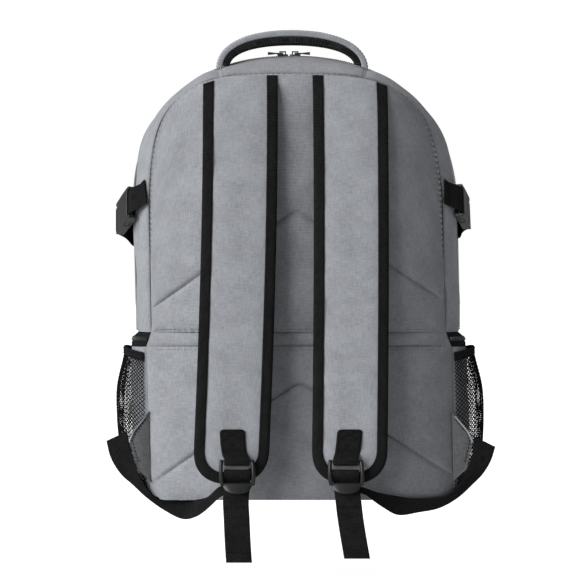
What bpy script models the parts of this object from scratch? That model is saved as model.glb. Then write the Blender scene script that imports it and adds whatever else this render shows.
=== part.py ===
# Cooler backpack: a soft two-compartment bag that hangs from its handle.
# The wearer's side, with the shoulder straps, faces -Y. The bag's own frame has x = 0 under the
# handle, y = 0 at the back seam and z = 0 at the underside; bag_frame then moves the whole model
# so that the origin is the underside of the handle, where the bag hangs.
import math

import bmesh
import bpy
import numpy as np

# Body
BODY_HEIGHT = 0.440
UPPER_WIDTH = 0.325
LOWER_WIDTH = 0.338
LOWER_DEPTH = 0.170
TOP_DEPTH = 0.132
WAIST_TOP = 0.1645
WAIST_BOTTOM = 0.1505
LEAN = 0.0234
CLOTH = 0.002
GAP = 0.0003
DEPTH_POWER = 1.6

# Padded panels
PAD_EDGE = 0.005
PAD_RISE = 0.006
FRONT_RISE = 0.010
UPPER_FOLD_APEX = 0.282
LOWER_FOLD_APEX = 0.113
FOLD_SLOPE = 0.58
SWELL_POWER = 6
BAND_RISE = 0.0018

# Handle
HANDLE_SPAN = 0.150
HANDLE_WIDTH = 0.030
HANDLE_RISE = 0.0385
HANDLE_THICKNESS = 0.0065
HANDLE_SETBACK = 0.040
HANDLE_POWER = 2.1
LINING_INSET = 0.001

# Shoulder straps
STRAP_WIDTH = 0.073
STRAP_THICKNESS = 0.011
STRAP_BINDING = 0.0105
STRAP_ROUND = 0.034
STRAP_END = 0.0185
STRAP_STANDOFF = 0.0240
STRAP_POWER = 2.4
STRAP_PUFF = 0.0006
STRAP_DRIFT_POWER = 1.5
STRAP_TOP_X = {"left": -0.0512, "right": 0.0560}
STRAP_END_X = {"left": -0.0695, "right": 0.0455}

# Webbing, its locks and loops
WEBBING = 0.025
WEBBING_THICKNESS = 0.0013
LOCK_SETIN = {"left": 0.0065, "right": 0.0035}
LOCK_HEIGHT = 0.0300
LOCK_STANDOFF = 0.0059
LOCK_SIDE = 0.0045
LOCK_WINDOW = 0.0095
LOCK_RAIL = 0.0030
LOCK_LIP = 0.0075
LOCK_CURL = 0.0045
LOCK_THICKNESS = 0.0040
TAB_LENGTH = 0.027
TAIL_LENGTH = {"left": 0.074, "right": 0.070}
WING_TOP = 0.087
WING_BOTTOM = 0.018
WING_REACH = 0.020
LOOP_DROP = 0.019

# A wing's outline down its seam and down its free edge: share of its height, share of WING_REACH.
WING_SEAM = (0.0, 0.29, 0.42, 0.82, 1.0)
WING_EDGE = ((0.04, 0.08), (0.29, 0.80), (0.42, 1.00), (0.82, 0.65), (0.96, 0.10))

# Mesh pockets
POCKET_BULGE = 0.015
POCKET_TOP = 0.144
ELASTIC_WIDTH = 0.010
ELASTIC_BULGE = {"left": 0.0070, "right": 0.0080}

# Side compression straps
COMPRESSION_HEIGHT = 0.303
COMPRESSION_FALL = {"left": 0.048, "right": 0.038}
BUCKLE_SETBACK = 0.017
BUCKLE_LENGTH = 0.046
BUCKLE_STANDOFF = 0.0070
BUCKLE_FLARE = {"left": 0.0150, "right": 0.0100}
BUCKLE_HALF_THICKNESS = 0.0045
BUCKLE_BAR = 0.0022
BUCKLE_GATE = 0.0058
BUCKLE_SIDE = 0.0040
BUCKLE_WALL = 0.0017
BUCKLE_ARM = 0.0040
BUCKLE_MOUTH = 0.60
BUCKLE_WINDOW = (0.27, 0.47)

# Main zip
ZIP_START = 0.50
ZIP_END = 0.58
COIL_RISE = 0.0012
COIL_ACROSS = ((0.0, 0.0), (0.40, 1.0), (0.60, 1.0), (1.0, 0.0))
COOLER_SLIDER_X = 0.050
PULL_X = -0.0030
SLIDER_PITCH = 0.0125
PULL_LENGTH = 0.0150

SIDES = {"left": -1, "right": 1}

# Half way round the body from the back seam (depth 0) to the front seam (depth 1). Widths are
# shares of the compartment's width, crown and spring are shares of BODY_HEIGHT, squareness is the
# arch's superellipse power, and corner is the lower corner's radius as a share of LOWER_WIDTH.
SECTION_COLUMNS = ("depth", "width", "crown", "spring", "squareness", "low_width", "corner")
SECTIONS = (
    (0.00, 0.889, 0.951, 0.553, 3.60, 0.884, 0.060),
    (0.04, 0.918, 0.962, 0.575, 3.15, 0.925, 0.066),
    (0.12, 0.957, 0.978, 0.610, 2.75, 0.965, 0.074),
    (0.28, 0.990, 0.993, 0.640, 2.42, 0.992, 0.084),
    (0.50, 1.000, 1.000, 0.652, 2.28, 1.000, 0.089),
    (0.58, 1.000, 0.999, 0.650, 2.28, 1.000, 0.089),
    (0.75, 0.985, 0.985, 0.638, 2.45, 0.990, 0.084),
    (0.90, 0.940, 0.958, 0.610, 2.75, 0.950, 0.074),
    (1.00, 0.880, 0.930, 0.570, 3.20, 0.885, 0.062),
)

# Steps round the arch and the lower U
SIDE_STEPS = 3
SHOULDER_STEPS = 6
CROWN_STEPS = 8
CORNER_STEPS = 4
BOTTOM_STEPS = 6

# Rows of a quilted panel: which zone (0 below the chevron fold, 1 above), the share of the way up
# that zone, and how far the pad rises there as a share of its full rise.
QUILT_ROWS = (
    (0, 0.00, 0.00), (0, 0.12, 0.70), (0, 0.50, 1.00), (0, 0.88, 0.75), (1, 0.00, 0.25),
    (1, 0.08, 0.75), (1, 0.35, 1.00), (1, 0.68, 1.00), (1, 0.92, 0.65), (1, 1.00, 0.00),
)
PLAIN_ROWS = ((0, 0.00, 0.00), (0, 0.50, 0.70), (1, 0.00, 0.95), (1, 0.50, 0.70), (1, 1.00, 0.00))

# A shoulder strap from its top seam down: share of its run, how far its inner face clears the
# panel as a share of PAD_RISE and then stands off as a share of STRAP_STANDOFF, and its
# thickness as a share of STRAP_THICKNESS.
STRAP_RUN = (
    (0.00, 0.00, 0.00, 0.32), (0.01, 0.14, 0.00, 0.36), (0.035, 0.74, 0.02, 0.60),
    (0.08, 1.00, 0.18, 0.85),
    (0.16, 1.00, 0.40, 1.00), (0.30, 1.00, 0.60, 1.00), (0.50, 1.00, 0.76, 1.00),
    (0.72, 1.00, 0.90, 1.00), (0.90, 1.00, 1.00, 1.00), (1.00, 1.00, 1.03, 0.90),
)

# Rows down a strap's binding to its rounded end, and rows down its padded face.
BINDING_STATIONS = (0.0, 0.03, 0.08, 0.16, 0.30, 0.50, 0.72)
FACE_STATIONS = (0.0, 0.04, 0.10, 0.20, 0.36, 0.58, 0.80, 0.94, 1.0)
STRAP_END_STEPS = 12

# The binding's section from the strap's edge inwards: how far it is pinched at each row as a share
# of the strap's thickness.
BINDING_PINCH = (0.16, 0.10, 0.03)

# Webbing through a ladder lock, seen from its side: how far forward of the lock's centre and how
# far above it, as multiples of the webbing's bend radius about the centre bar.
LOCK_PATH = (
    (-1.95, -6.2), (-1.86, -3.6), (-1.70, -1.9), (-1.15, -0.45), (-0.75, 0.75), (0.0, 1.02),
    (0.75, 0.72), (1.05, 0.0), (0.85, -0.95), (0.15, -2.0), (-0.70, -2.8), (-1.18, -3.6),
    (-1.20, -5.0),
)
LOCK_BEND = 0.0025

# The strap's tab where it turns round the lock's top rail, seen from its side: forward of the
# lock's centre and above it, as shares of the lock's half height.
TAB_HOOK = (
    (0.04, 1.18), (0.24, 1.08), (0.27, 0.86), (0.21, 0.66), (-0.06, 0.61), (-0.26, 0.69),
    (-0.27, 0.88),
)
TAB_ROWS = (1.0, 0.7, 0.35, 0.12)

# The webbing that hangs from a wing round to the lock, by its two edges. Across is the share of
# the way from the lock (0) out to the wing's edge (1), depth a share of LOWER_DEPTH, drop a share
# of LOOP_DROP below the lock's line to the underside.
LOOP_COLUMNS = ("outer_across", "outer_depth", "outer_drop", "inner_across", "inner_depth",
                "inner_drop")
LEFT_LOOP = (
    (1.200, 0.004, -2.75, 0.985, 0.003, -3.30),
    (1.175, 0.006, -2.15, 0.975, 0.005, -2.45),
    (1.130, 0.015, -1.60, 0.950, 0.010, -1.45),
    (1.060, 0.020, -1.05, 0.925, 0.000, -0.85),
    (0.970, 0.022, -0.55, 0.870, -0.020, -0.25),
    (0.845, 0.030, 0.05, 0.760, 0.060, 0.14),
    (0.690, 0.010, 0.65, 0.590, 0.085, 0.15),
    (0.510, -0.050, 0.90, 0.430, 0.035, 0.17),
    (0.370, -0.130, 0.72, 0.300, -0.080, -0.10),
    (0.215, -0.200, 0.10, 0.090, -0.185, -0.42),
)
RIGHT_LOOP = (
    (1.175, 0.004, -2.60, 1.000, 0.003, -3.25),
    (1.140, 0.006, -1.95, 0.985, 0.005, -2.25),
    (1.070, 0.015, -1.25, 0.945, 0.005, -1.30),
    (0.975, 0.020, -0.60, 0.895, -0.010, -0.70),
    (0.860, 0.030, 0.00, 0.810, -0.010, -0.05),
    (0.720, 0.025, 0.45, 0.660, 0.080, 0.15),
    (0.560, -0.020, 0.62, 0.510, 0.060, 0.16),
    (0.420, -0.080, 0.72, 0.370, 0.000, 0.18),
    (0.300, -0.150, 0.38, 0.240, -0.100, -0.05),
    (0.190, -0.205, -0.05, 0.070, -0.190, -0.44),
)

# The slack compression strap: share of the body's depth, share of COMPRESSION_FALL.
STRAP_SAG = ((0.00, 0.00), (0.11, 0.22), (0.41, 0.56), (0.50, 0.78), (0.58, 0.84), (0.75, 0.80),
             (1.00, 0.60))

# Webbing turned round a buckle's bar, seen from its edge: along the buckle from its end and
# outwards from its middle, as multiples of BUCKLE_BAR.
BAR_HOOK = ((-2.20, 0.80), (-0.60, 1.05), (0.50, 1.10), (1.35, 0.90), (1.80, 0.00), (1.35, -0.90),
            (0.50, -1.10), (-1.20, -1.00))

# Tail below the lock: share of its length, sway towards the bag's right as a share of the
# webbing's width, forward swing as a share of the webbing's width.
TAIL_RUN = {
    "left": ((0.00, 0.00, 0.00), (0.12, -0.06, 0.06), (0.45, -0.06, 0.12), (0.93, -0.02, 0.06),
             (1.00, -0.01, 0.05)),
    "right": ((0.00, 0.10, 0.00), (0.12, 0.14, 0.06), (0.42, 0.22, 0.16), (0.93, 0.42, 0.10),
              (1.00, 0.45, 0.08)),
}

# A mesh pocket, from its back seam to its front seam (share of body depth) and from its top down
# (shares of the straight side, then past 1 round the corner), with the shares of POCKET_BULGE.
POCKET_DEPTHS = ((0.012, 0.0), (0.04, 0.22), (0.12, 0.52), (0.21, 0.76), (0.31, 0.92), (0.42, 1.0),
                 (0.53, 0.98), (0.64, 0.88), (0.76, 0.60), (0.90, 0.0))
POCKET_DROPS = ((0.13, 0.50), (0.33, 0.88), (0.56, 1.0), (0.78, 0.88), (1.0, 0.62), (1.25, 0.38),
                (1.50, 0.18), (1.75, 0.0))
NET_HOLE = 0.62

MATERIALS = {
    "heather_fabric": ((0.34, 0.35, 0.37), 0.90, 0.0),
    "black_fabric": ((0.035, 0.035, 0.038), 0.85, 0.0),
    "black_net": ((0.030, 0.030, 0.032), 0.80, 0.0),
    "black_webbing": ((0.022, 0.023, 0.026), 0.75, 0.0),
    "black_plastic": ((0.028, 0.029, 0.032), 0.45, 0.0),
    "zip_tape": ((0.020, 0.020, 0.022), 0.70, 0.0),
    "zip_metal": ((0.060, 0.060, 0.065), 0.35, 0.8),
}


def clear_scene():
    """Remove every object that the scene starts with."""
    for thing in list(bpy.data.objects):
        bpy.data.objects.remove(thing, do_unlink=True)


def make_material(name):
    """A Principled material with the piece's colour, roughness and metallic value."""
    colour, roughness, metallic = MATERIALS[name]
    material = bpy.data.materials.new(name)
    material.use_nodes = True
    shader = material.node_tree.nodes["Principled BSDF"]
    shader.inputs["Base Color"].default_value = (*colour, 1.0)
    shader.inputs["Roughness"].default_value = roughness
    shader.inputs["Metallic"].default_value = metallic
    return material


def lean_at(height):
    """Sideways drift of the hanging bag at a height: none at the handle, most at the underside."""
    return LEAN * (HANG_HEIGHT - height)


def add_piece(name, points, faces, material, leans=True, location=(0.0, 0.0, 0.0)):
    """Make one named closed mesh, lean its points with the bag, and hang it on bag_frame."""
    points = np.array(points, dtype=float)
    if leans:
        points[:, 0] += lean_at(points[:, 2])
    mesh = bpy.data.meshes.new(name)
    mesh.from_pydata(points.tolist(), [], faces)
    work = bmesh.new()
    work.from_mesh(mesh)
    bmesh.ops.recalc_face_normals(work, faces=work.faces)
    work.to_mesh(mesh)
    work.free()
    mesh.shade_smooth()
    mesh.set_sharp_from_angle(angle=math.radians(35.0))
    piece = bpy.data.objects.new(name, mesh)
    bpy.context.collection.objects.link(piece)
    piece.data.materials.append(materials[material])
    piece.parent = bag_frame
    piece.location = location
    return piece


def slab(outer, inner):
    """Close two matching grids of points into one solid with a rim all round."""
    rows, columns = outer.shape[:2]
    ids = np.arange(rows * columns).reshape(rows, columns)
    back = ids + rows * columns
    faces = []
    for row in range(rows - 1):
        for col in range(columns - 1):
            faces.append((ids[row, col], ids[row, col + 1], ids[row + 1, col + 1], ids[row + 1, col]))
            faces.append((back[row, col], back[row + 1, col], back[row + 1, col + 1], back[row, col + 1]))
    ring = [(0, col) for col in range(columns - 1)]
    ring += [(row, columns - 1) for row in range(rows - 1)]
    ring += [(rows - 1, col) for col in range(columns - 1, 0, -1)]
    ring += [(row, 0) for row in range(rows - 1, 0, -1)]
    for here, there in zip(ring, ring[1:] + ring[:1]):
        faces.append((ids[here], back[here], back[there], ids[there]))
    points = np.vstack([outer.reshape(-1, 3), inner.reshape(-1, 3)])
    return points, [tuple(int(i) for i in face) for face in faces]


def unit(vectors):
    """Vectors of length one."""
    return vectors / np.linalg.norm(vectors, axis=-1, keepdims=True)


def band(edge_a, edge_b, thickness, steps_across=1):
    """A flat strip between two edge lines, as thick as asked about its middle surface."""
    edge_a, edge_b = np.array(edge_a, dtype=float), np.array(edge_b, dtype=float)
    along = unit(np.gradient((edge_a + edge_b) / 2.0, axis=0))
    face = unit(np.cross(along, edge_b - edge_a))
    shares = np.linspace(0.0, 1.0, steps_across + 1)[:, None, None]
    middle = edge_a[None] * (1.0 - shares) + edge_b[None] * shares
    lift = face[None] * thickness / 2.0
    return slab(middle + lift, middle - lift)


def block_solid(blocks, voids=()):
    """One closed solid of boxes that share faces, less some boxes: each is x, y, z from and to."""
    cuts = []
    for axis in range(3):
        ends = {round(box[2 * axis + end], 7) for box in (*blocks, *voids) for end in (0, 1)}
        cuts.append(np.array(sorted(ends)))
    filled = np.zeros([len(cut) + 1 for cut in cuts], dtype=bool)
    for boxes, state in ((blocks, True), (voids, False)):
        for box in boxes:
            span = [slice(int(np.searchsorted(cuts[axis], box[2 * axis] - 1e-7)) + 1,
                          int(np.searchsorted(cuts[axis], box[2 * axis + 1] - 1e-7)) + 1)
                    for axis in range(3)]
            filled[tuple(span)] = state
    points, faces, index = [], [], {}

    def corner(cell):
        if cell not in index:
            index[cell] = len(points)
            points.append([cuts[axis][cell[axis] - 1] for axis in range(3)])
        return index[cell]

    for axis in range(3):
        side_a, side_b = (axis + 1) % 3, (axis + 2) % 3
        step = np.eye(3, dtype=int)
        change = np.diff(filled.astype(int), axis=axis)
        for cell in np.argwhere(change != 0):
            base = cell + step[axis]
            quad = [base, base + step[side_a], base + step[side_a] + step[side_b], base + step[side_b]]
            quad = [corner(tuple(int(v) for v in point)) for point in quad]
            faces.append(tuple(quad if change[tuple(cell)] < 0 else quad[::-1]))
    return np.array(points), faces


def section(depth_share):
    """The body's measures at one share of its depth, read between the rows of SECTIONS."""
    table = np.array(SECTIONS).T
    found = {name: float(np.interp(depth_share, table[0], column))
             for name, column in zip(SECTION_COLUMNS, table)}
    return {
        "half": found["width"] * UPPER_WIDTH / 2.0,
        "crown": found["crown"] * BODY_HEIGHT,
        "spring": found["spring"] * BODY_HEIGHT,
        "power": found["squareness"],
        "low_half": found["low_width"] * LOWER_WIDTH / 2.0,
        "corner": found["corner"] * LOWER_WIDTH,
    }


def depth_at(height):
    """Depth of the body at a height: full at the cooler compartment, less towards the crown."""
    share = np.clip((np.asarray(height) - WAIST_TOP) / (BODY_HEIGHT - WAIST_TOP), 0.0, 1.0)
    return LOWER_DEPTH + (TOP_DEPTH - LOWER_DEPTH) * share ** DEPTH_POWER


def with_depth(flat, depth_share):
    """Put a line of x, z points at a share of the depth."""
    return np.column_stack([flat[:, 0], depth_share * depth_at(flat[:, 1]), flat[:, 1]])


def arch_height(depth_share, across):
    """Height of the upper arch over a place across the bag."""
    shape = section(depth_share)
    share = np.clip(np.abs(across) / shape["half"], 0.0, 1.0)
    rise = shape["crown"] - shape["spring"]
    return shape["spring"] + rise * (1.0 - share ** shape["power"]) ** (1.0 / shape["power"])


def inward(flat):
    """Unit normals of a line of x, z points that runs clockwise, pointing into the bag."""
    run = unit(np.gradient(flat, axis=0))
    return np.column_stack([run[:, 1], -run[:, 0]])


def upper_ring(depth_share, inset=0.0):
    """The upper arch at one depth, from the left waist over the crown to the right waist."""
    shape = section(depth_share)
    power, rise = shape["power"], shape["crown"] - shape["spring"]
    side = np.linspace(WAIST_TOP, shape["spring"], SIDE_STEPS + 1)
    seam_angle = math.acos((HANDLE_SPAN / 2.0 / shape["half"]) ** (power / 2.0))
    angle = seam_angle * np.arange(1, SHOULDER_STEPS + 1) / SHOULDER_STEPS
    shoulder_x = shape["half"] * np.cos(angle) ** (2.0 / power)
    shoulder_z = shape["spring"] + rise * np.sin(angle) ** (2.0 / power)
    across = HANDLE_SPAN * (np.arange(1, CROWN_STEPS) / CROWN_STEPS - 0.5)
    left = np.column_stack([
        np.concatenate([np.full(side.size, -shape["half"]), -shoulder_x]),
        np.concatenate([side, shoulder_z])])
    crown = np.column_stack([across, arch_height(depth_share, across)])
    right = left[::-1] * (-1.0, 1.0)
    flat = np.vstack([left, crown, right])
    return flat + inward(flat) * inset


def lower_side(depth_share, drops, out):
    """Points down the right side of the cooler compartment: drops are shares of the straight
    side, then past 1 the share of the corner's quarter turn; out is the distance outwards."""
    shape = section(depth_share)
    drops = np.asarray(drops, dtype=float)
    turn = np.clip(drops - 1.0, 0.0, 1.0) * math.pi / 2.0
    radius = shape["corner"]
    straight = WAIST_BOTTOM + (radius - WAIST_BOTTOM) * np.clip(drops, 0.0, 1.0)
    across = shape["low_half"] - radius + radius * np.cos(turn)
    height = np.where(drops > 1.0, radius - radius * np.sin(turn), straight)
    flat = np.column_stack([across, height])
    return flat + np.column_stack([np.cos(turn), -np.sin(turn)]) * np.reshape(out, (-1, 1))


def lower_ring(depth_share, inset=0.0):
    """The lower U at one depth, from the left waist round the underside to the right waist."""
    drops = np.concatenate([np.linspace(0.0, 1.0, SIDE_STEPS + 1),
                            1.0 + np.arange(1, CORNER_STEPS + 1) / CORNER_STEPS])
    right = lower_side(depth_share, drops, np.full(drops.size, -inset))
    left = right * (-1.0, 1.0)
    shares = np.arange(1, BOTTOM_STEPS)[:, None] / BOTTOM_STEPS
    bottom = left[-1] + (right[-1] - left[-1]) * shares
    return np.vstack([left, bottom, right[::-1]])


def strip(name, ring, depths, first, last, material, trim=(0.0, 0.0)):
    """One stretch of the body's wall between two stations, over a list of depth shares."""
    outer = np.array([with_depth(ring(share)[first:last], share) for share in depths])
    inner = np.array([with_depth(ring(share, CLOTH)[first:last], share) for share in depths])
    for grid in (outer, inner):
        grid[:, 0, 0] += trim[0]
        grid[:, -1, 0] -= trim[1]
    add_piece(name, *slab(outer, inner), material)


def depth_rows(start, end):
    """The depth shares between two seams, with a thread's gap at each seam that is not free."""
    inner = [row[0] for row in SECTIONS if start + 0.01 < row[0] < end - 0.01]
    gap = GAP / LOWER_DEPTH
    return [start + (gap if start > 0.0 else 0.0), *inner, end - (gap if end < 1.0 else 0.0)]


def make_upper_walls():
    """Side and top gussets behind the back seam, and the strip in front of the main zip."""
    last = 2 * (SIDE_STEPS + SHOULDER_STEPS) + CROWN_STEPS + 1
    left_end = SIDE_STEPS + SHOULDER_STEPS + 1
    right_start = last - left_end
    back = depth_rows(0.0, ZIP_START)
    strip("side_gusset_left", upper_ring, back, 0, left_end, "heather_fabric", (0.0, GAP / 2.0))
    strip("top_gusset", upper_ring, back, left_end - 1, right_start + 1, "heather_fabric",
          (GAP / 2.0, GAP / 2.0))
    strip("side_gusset_right", upper_ring, back, right_start, last, "heather_fabric",
          (GAP / 2.0, 0.0))
    strip("front_gusset", upper_ring, depth_rows(ZIP_END, 1.0), 0, last, "heather_fabric")


def make_main_zip():
    """Zip tape round the upper arch with its coil standing proud along the middle."""
    gap = GAP / LOWER_DEPTH
    width = ZIP_END - ZIP_START - 2.0 * gap
    coil = np.array(COIL_ACROSS)
    shares = ZIP_START + gap + width * coil[:, 0]
    lifts = COIL_RISE * coil[:, 1]
    outer = np.array([with_depth(upper_ring(s, -lift), s) for s, lift in zip(shares, lifts)])
    inner = np.array([with_depth(upper_ring(s, CLOTH), s) for s in shares])
    add_piece("main_zip", *slab(outer, inner), "zip_tape")


def make_lower_walls():
    """Sides with their rounded corners, and the underside, of the cooler compartment."""
    corner = SIDE_STEPS + CORNER_STEPS + 1
    last = 2 * corner + BOTTOM_STEPS - 1
    depths = depth_rows(0.0, 1.0)
    strip("cooler_side_left", lower_ring, depths, 0, corner, "heather_fabric", (0.0, GAP / 2.0))
    strip("bottom_panel", lower_ring, depths, corner - 1, last - corner + 1, "black_fabric",
          (GAP / 2.0, GAP / 2.0))
    strip("cooler_side_right", lower_ring, depths, last - corner, last, "heather_fabric",
          (GAP / 2.0, 0.0))


def quilted(name, curve, straight, facing, rows, fold_apex, rise, depth_share):
    """A panel set inside its ring: columns run from the straight waist edge to the curved edge,
    its face swells by the rows' shares towards -Y (facing -1) or +Y (facing 1)."""
    across = curve[:, 0]
    low = np.minimum(curve[:, 1], straight)
    high = np.maximum(curve[:, 1], straight)
    fold = np.clip(fold_apex - FOLD_SLOPE * np.abs(across), low + PAD_EDGE, high - PAD_EDGE)
    half = np.max(np.abs(across))
    swell = 1.0 - np.abs(across / half) ** SWELL_POWER
    face, back = [], []
    for zone, share, lift in rows:
        start, end = (low, fold) if zone == 0 else (fold, high)
        height = start + (end - start) * share
        seat = depth_share * depth_at(height)
        face.append(np.column_stack([across, seat + facing * rise * lift * swell, height]))
        back.append(np.column_stack([across, seat - facing * PAD_EDGE, height]))
    add_piece(name, *slab(np.array(face), np.array(back)), "heather_fabric")


def make_panels():
    """The four panels that close the rings at the back and the front."""
    inset = CLOTH + GAP
    seam = GAP / 2.0
    for depth_share, facing, rise, rows, side in (
            (0.0, -1.0, PAD_RISE, QUILT_ROWS, "back"), (1.0, 1.0, FRONT_RISE, PLAIN_ROWS, "front")):
        arch = upper_ring(depth_share, inset)[SIDE_STEPS:-SIDE_STEPS]
        quilted(f"{side}_panel_upper", arch, WAIST_TOP + seam, facing, rows, UPPER_FOLD_APEX, rise,
                depth_share)
        cup = lower_ring(depth_share, inset)[SIDE_STEPS:-SIDE_STEPS]
        quilted(f"{side}_panel_lower", cup, WAIST_BOTTOM - seam, facing, rows, LOWER_FOLD_APEX, rise,
                depth_share)


def make_back_band():
    """The flat grey band between the two seams across the back."""
    inset = CLOTH + GAP
    shares = np.linspace(-1.0, 1.0, CROWN_STEPS + 1)
    top = section(0.0)["half"] - inset
    bottom = section(0.0)["low_half"] - inset
    high, low = WAIST_TOP - GAP / 2.0, WAIST_BOTTOM + GAP / 2.0
    middle = (high + low) / 2.0
    face, back = [], []
    for half, height, lift in ((bottom, low, 0.0), ((top + bottom) / 2.0, middle, BAND_RISE),
                               (top, high, 0.0)):
        line = np.full(shares.size, height)
        face.append(np.column_stack([half * shares, -lift * (1.0 - shares ** SWELL_POWER), line]))
        back.append(np.column_stack([half * shares, np.full(shares.size, PAD_EDGE), line]))
    add_piece("back_band", *slab(np.array(face), np.array(back)), "heather_fabric")


def waist_line(column, inset, height):
    """The body's outline seen from above, from the left back seam round the front to the right."""
    depths = [row[0] for row in SECTIONS]
    half = np.array([section(share)[column] for share in depths]) - inset
    depth = np.array(depths) * (depth_at(height) - inset * (np.array(depths) > 0.95))
    front_x = half[-1] * np.array([-0.5, 0.0, 0.5])
    front_y = np.full(3, depth[-1])
    across = np.concatenate([-half, front_x, half[::-1]])
    return np.column_stack([across, np.concatenate([depth, front_y, depth[::-1]]),
                            np.full(across.size, height)])


def make_cooler_zip():
    """Zip tape round the sides and front between the two compartments, its coil proud."""
    high, low = WAIST_TOP - GAP, WAIST_BOTTOM + GAP
    middle = (high + low) / 2.0
    outer, inner = [], []
    for share, lift in COIL_ACROSS:
        height = low + (high - low) * share
        for grid, inset in ((outer, -COIL_RISE * lift), (inner, CLOTH)):
            bottom = waist_line("low_half", inset, height)
            top = waist_line("half", inset, height)
            grid.append(bottom + (top - bottom) * share)
    add_piece("cooler_zip", *slab(np.array(outer), np.array(inner)), "zip_tape")
    seat = float(depth_at(middle)) + COIL_RISE + GAP
    slider_half, slider_long, slider_rise, pull_end = 0.004, 0.0055, 0.003, 0.024
    points, faces = block_solid([
        (-slider_long, slider_long, 0.0, slider_rise, -slider_half, slider_half),
        (slider_long, pull_end, slider_rise / 2.0, slider_rise, -slider_half / 2.0, slider_half / 2.0)])
    add_piece("cooler_zip_slider", points + (COOLER_SLIDER_X, seat, middle), faces, "zip_metal")


def pocket_surface(side, drops, bulge_shares, depths, bulge):
    """A pocket's inner face: the compartment's side pushed out by a thread's gap and the bulge."""
    rows = []
    for depth_share, depth_bulge in depths:
        out = 2.0 * GAP + bulge * depth_bulge * np.asarray(bulge_shares)
        flat = lower_side(depth_share, drops, out)
        rows.append(with_depth(flat * (side, 1.0), depth_share))
    return np.array(rows)


def pierced_slab(outer, inner, solid):
    """A slab like slab's, with a diamond hole in each cell that solid(row, column) leaves open."""
    rows, columns = outer.shape[:2]
    points, faces = slab(outer, inner)
    count = rows * columns
    ids = np.arange(count).reshape(rows, columns)
    points = list(points)
    kept = list(faces)
    for row in range(rows - 1):
        for col in range(columns - 1):
            if solid(row, col):
                continue
            rings = []
            for layer in (0, count):
                square = [int(ids[cell]) + layer for cell in
                          ((row, col), (row, col + 1), (row + 1, col + 1), (row + 1, col))]
                corners = np.array([points[i] for i in square])
                centre = corners.mean(axis=0)
                sides = (corners + np.roll(corners, -1, axis=0)) / 2.0
                start = len(points)
                points.extend(centre + (sides - centre) * NET_HOLE)
                rings.append((square, [start + k for k in range(4)]))
                kept = [face for face in kept if set(face) != set(square)]
            for layer, (square, hole) in enumerate(rings):
                for k in range(4):
                    after = (k + 1) % 4
                    for face in ((square[k], square[after], hole[k]),
                                 (square[after], hole[after], hole[k])):
                        kept.append(face if layer == 0 else face[::-1])
            front, behind = rings[0][1], rings[1][1]
            for k in range(4):
                after = (k + 1) % 4
                kept.append((front[k], front[after], behind[after], behind[k]))
    return np.array(points), kept


def make_pockets():
    """Gathered net pockets on both sides, each under its elastic edge."""
    drops = [row[0] for row in POCKET_DROPS]
    shares = [row[1] for row in POCKET_DROPS]
    seam_gap = (WAIST_BOTTOM - POCKET_TOP) / WAIST_BOTTOM
    elastic = ELASTIC_WIDTH / WAIST_BOTTOM
    drops[0] = seam_gap + elastic + GAP / WAIST_BOTTOM
    for name, side in SIDES.items():
        ledge = ELASTIC_BULGE[name] / POCKET_BULGE
        shares[0] = ledge
        inner = pocket_surface(side, drops, shares, POCKET_DEPTHS, POCKET_BULGE)
        outer = inner + (side * CLOTH / 2.0, 0.0, 0.0)
        last_depth = len(POCKET_DEPTHS) - 2
        last_drop = len(drops) - 2
        points, faces = pierced_slab(
            outer, inner, lambda row, col: row in (0, last_depth) or col > last_drop - 3)
        add_piece(f"mesh_pocket_{name}", points, faces, "black_net")
        top = [seam_gap, seam_gap + elastic]
        inner = pocket_surface(side, top, [ledge, ledge], POCKET_DEPTHS, POCKET_BULGE)
        arc = np.array([row[1] for row in POCKET_DEPTHS])
        inner[:, 0, 2] += arc * (WAIST_BOTTOM - POCKET_TOP) * 0.8
        outer = inner + (side * CLOTH * 0.8, 0.0, 0.0)
        add_piece(f"pocket_elastic_{name}", *slab(outer, inner), "black_webbing")


def strap_centre(name, height):
    """Middle of a shoulder strap across the bag, from its top seam to its rounded end."""
    top, end = STRAP_TOP_X[name], STRAP_END_X[name]
    share = np.clip((strap_top() - height) / (strap_top() - STRAP_END), 0.0, 1.0)
    return top + (end - top) * share ** STRAP_DRIFT_POWER


def strap_top():
    """Height of the seam that holds the straps' upper ends."""
    return section(0.0)["crown"] - CLOTH - GAP


def strap_faces(across, height):
    """Inner and outer face of a strap at a place, from the rows of STRAP_RUN."""
    run = np.array(STRAP_RUN).T
    top = arch_height(0.0, across) - CLOTH - GAP
    share = np.clip((top - np.asarray(height)) / (top - STRAP_END), 0.0, 1.0)
    pad = PAD_RISE * np.interp(share, run[0], run[1])
    inner = -(GAP + pad + STRAP_STANDOFF * np.interp(share, run[0], run[2]))
    return inner, inner - STRAP_THICKNESS * np.interp(share, run[0], run[3])


def strap_edge(name, inset):
    """Outline of a strap set in by inset: down its left edge, round its end, up its right edge."""
    half, turn = STRAP_WIDTH / 2.0 - inset, STRAP_ROUND - inset
    shares = np.array(BINDING_STATIONS)
    angle = np.linspace(0.0, math.pi, STRAP_END_STEPS + 1)
    lateral = -np.sign(np.cos(angle)) * np.abs(np.cos(angle)) ** (2.0 / STRAP_POWER)
    low = STRAP_END + inset + turn * (1.0 - np.sin(angle) ** (2.0 / STRAP_POWER))
    points = []
    for edge in (-1.0, 1.0):
        start = arch_height(0.0, strap_centre(name, strap_top()) + edge * half) - CLOTH - GAP
        run = start + (low[0] - start) * shares
        line = np.column_stack([strap_centre(name, run) + edge * half, run])
        points.append(line if edge < 0.0 else line[::-1])
    end = np.column_stack([strap_centre(name, low) + lateral * half, low])
    return np.vstack([points[0], end, points[1]]), shares.size


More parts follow.
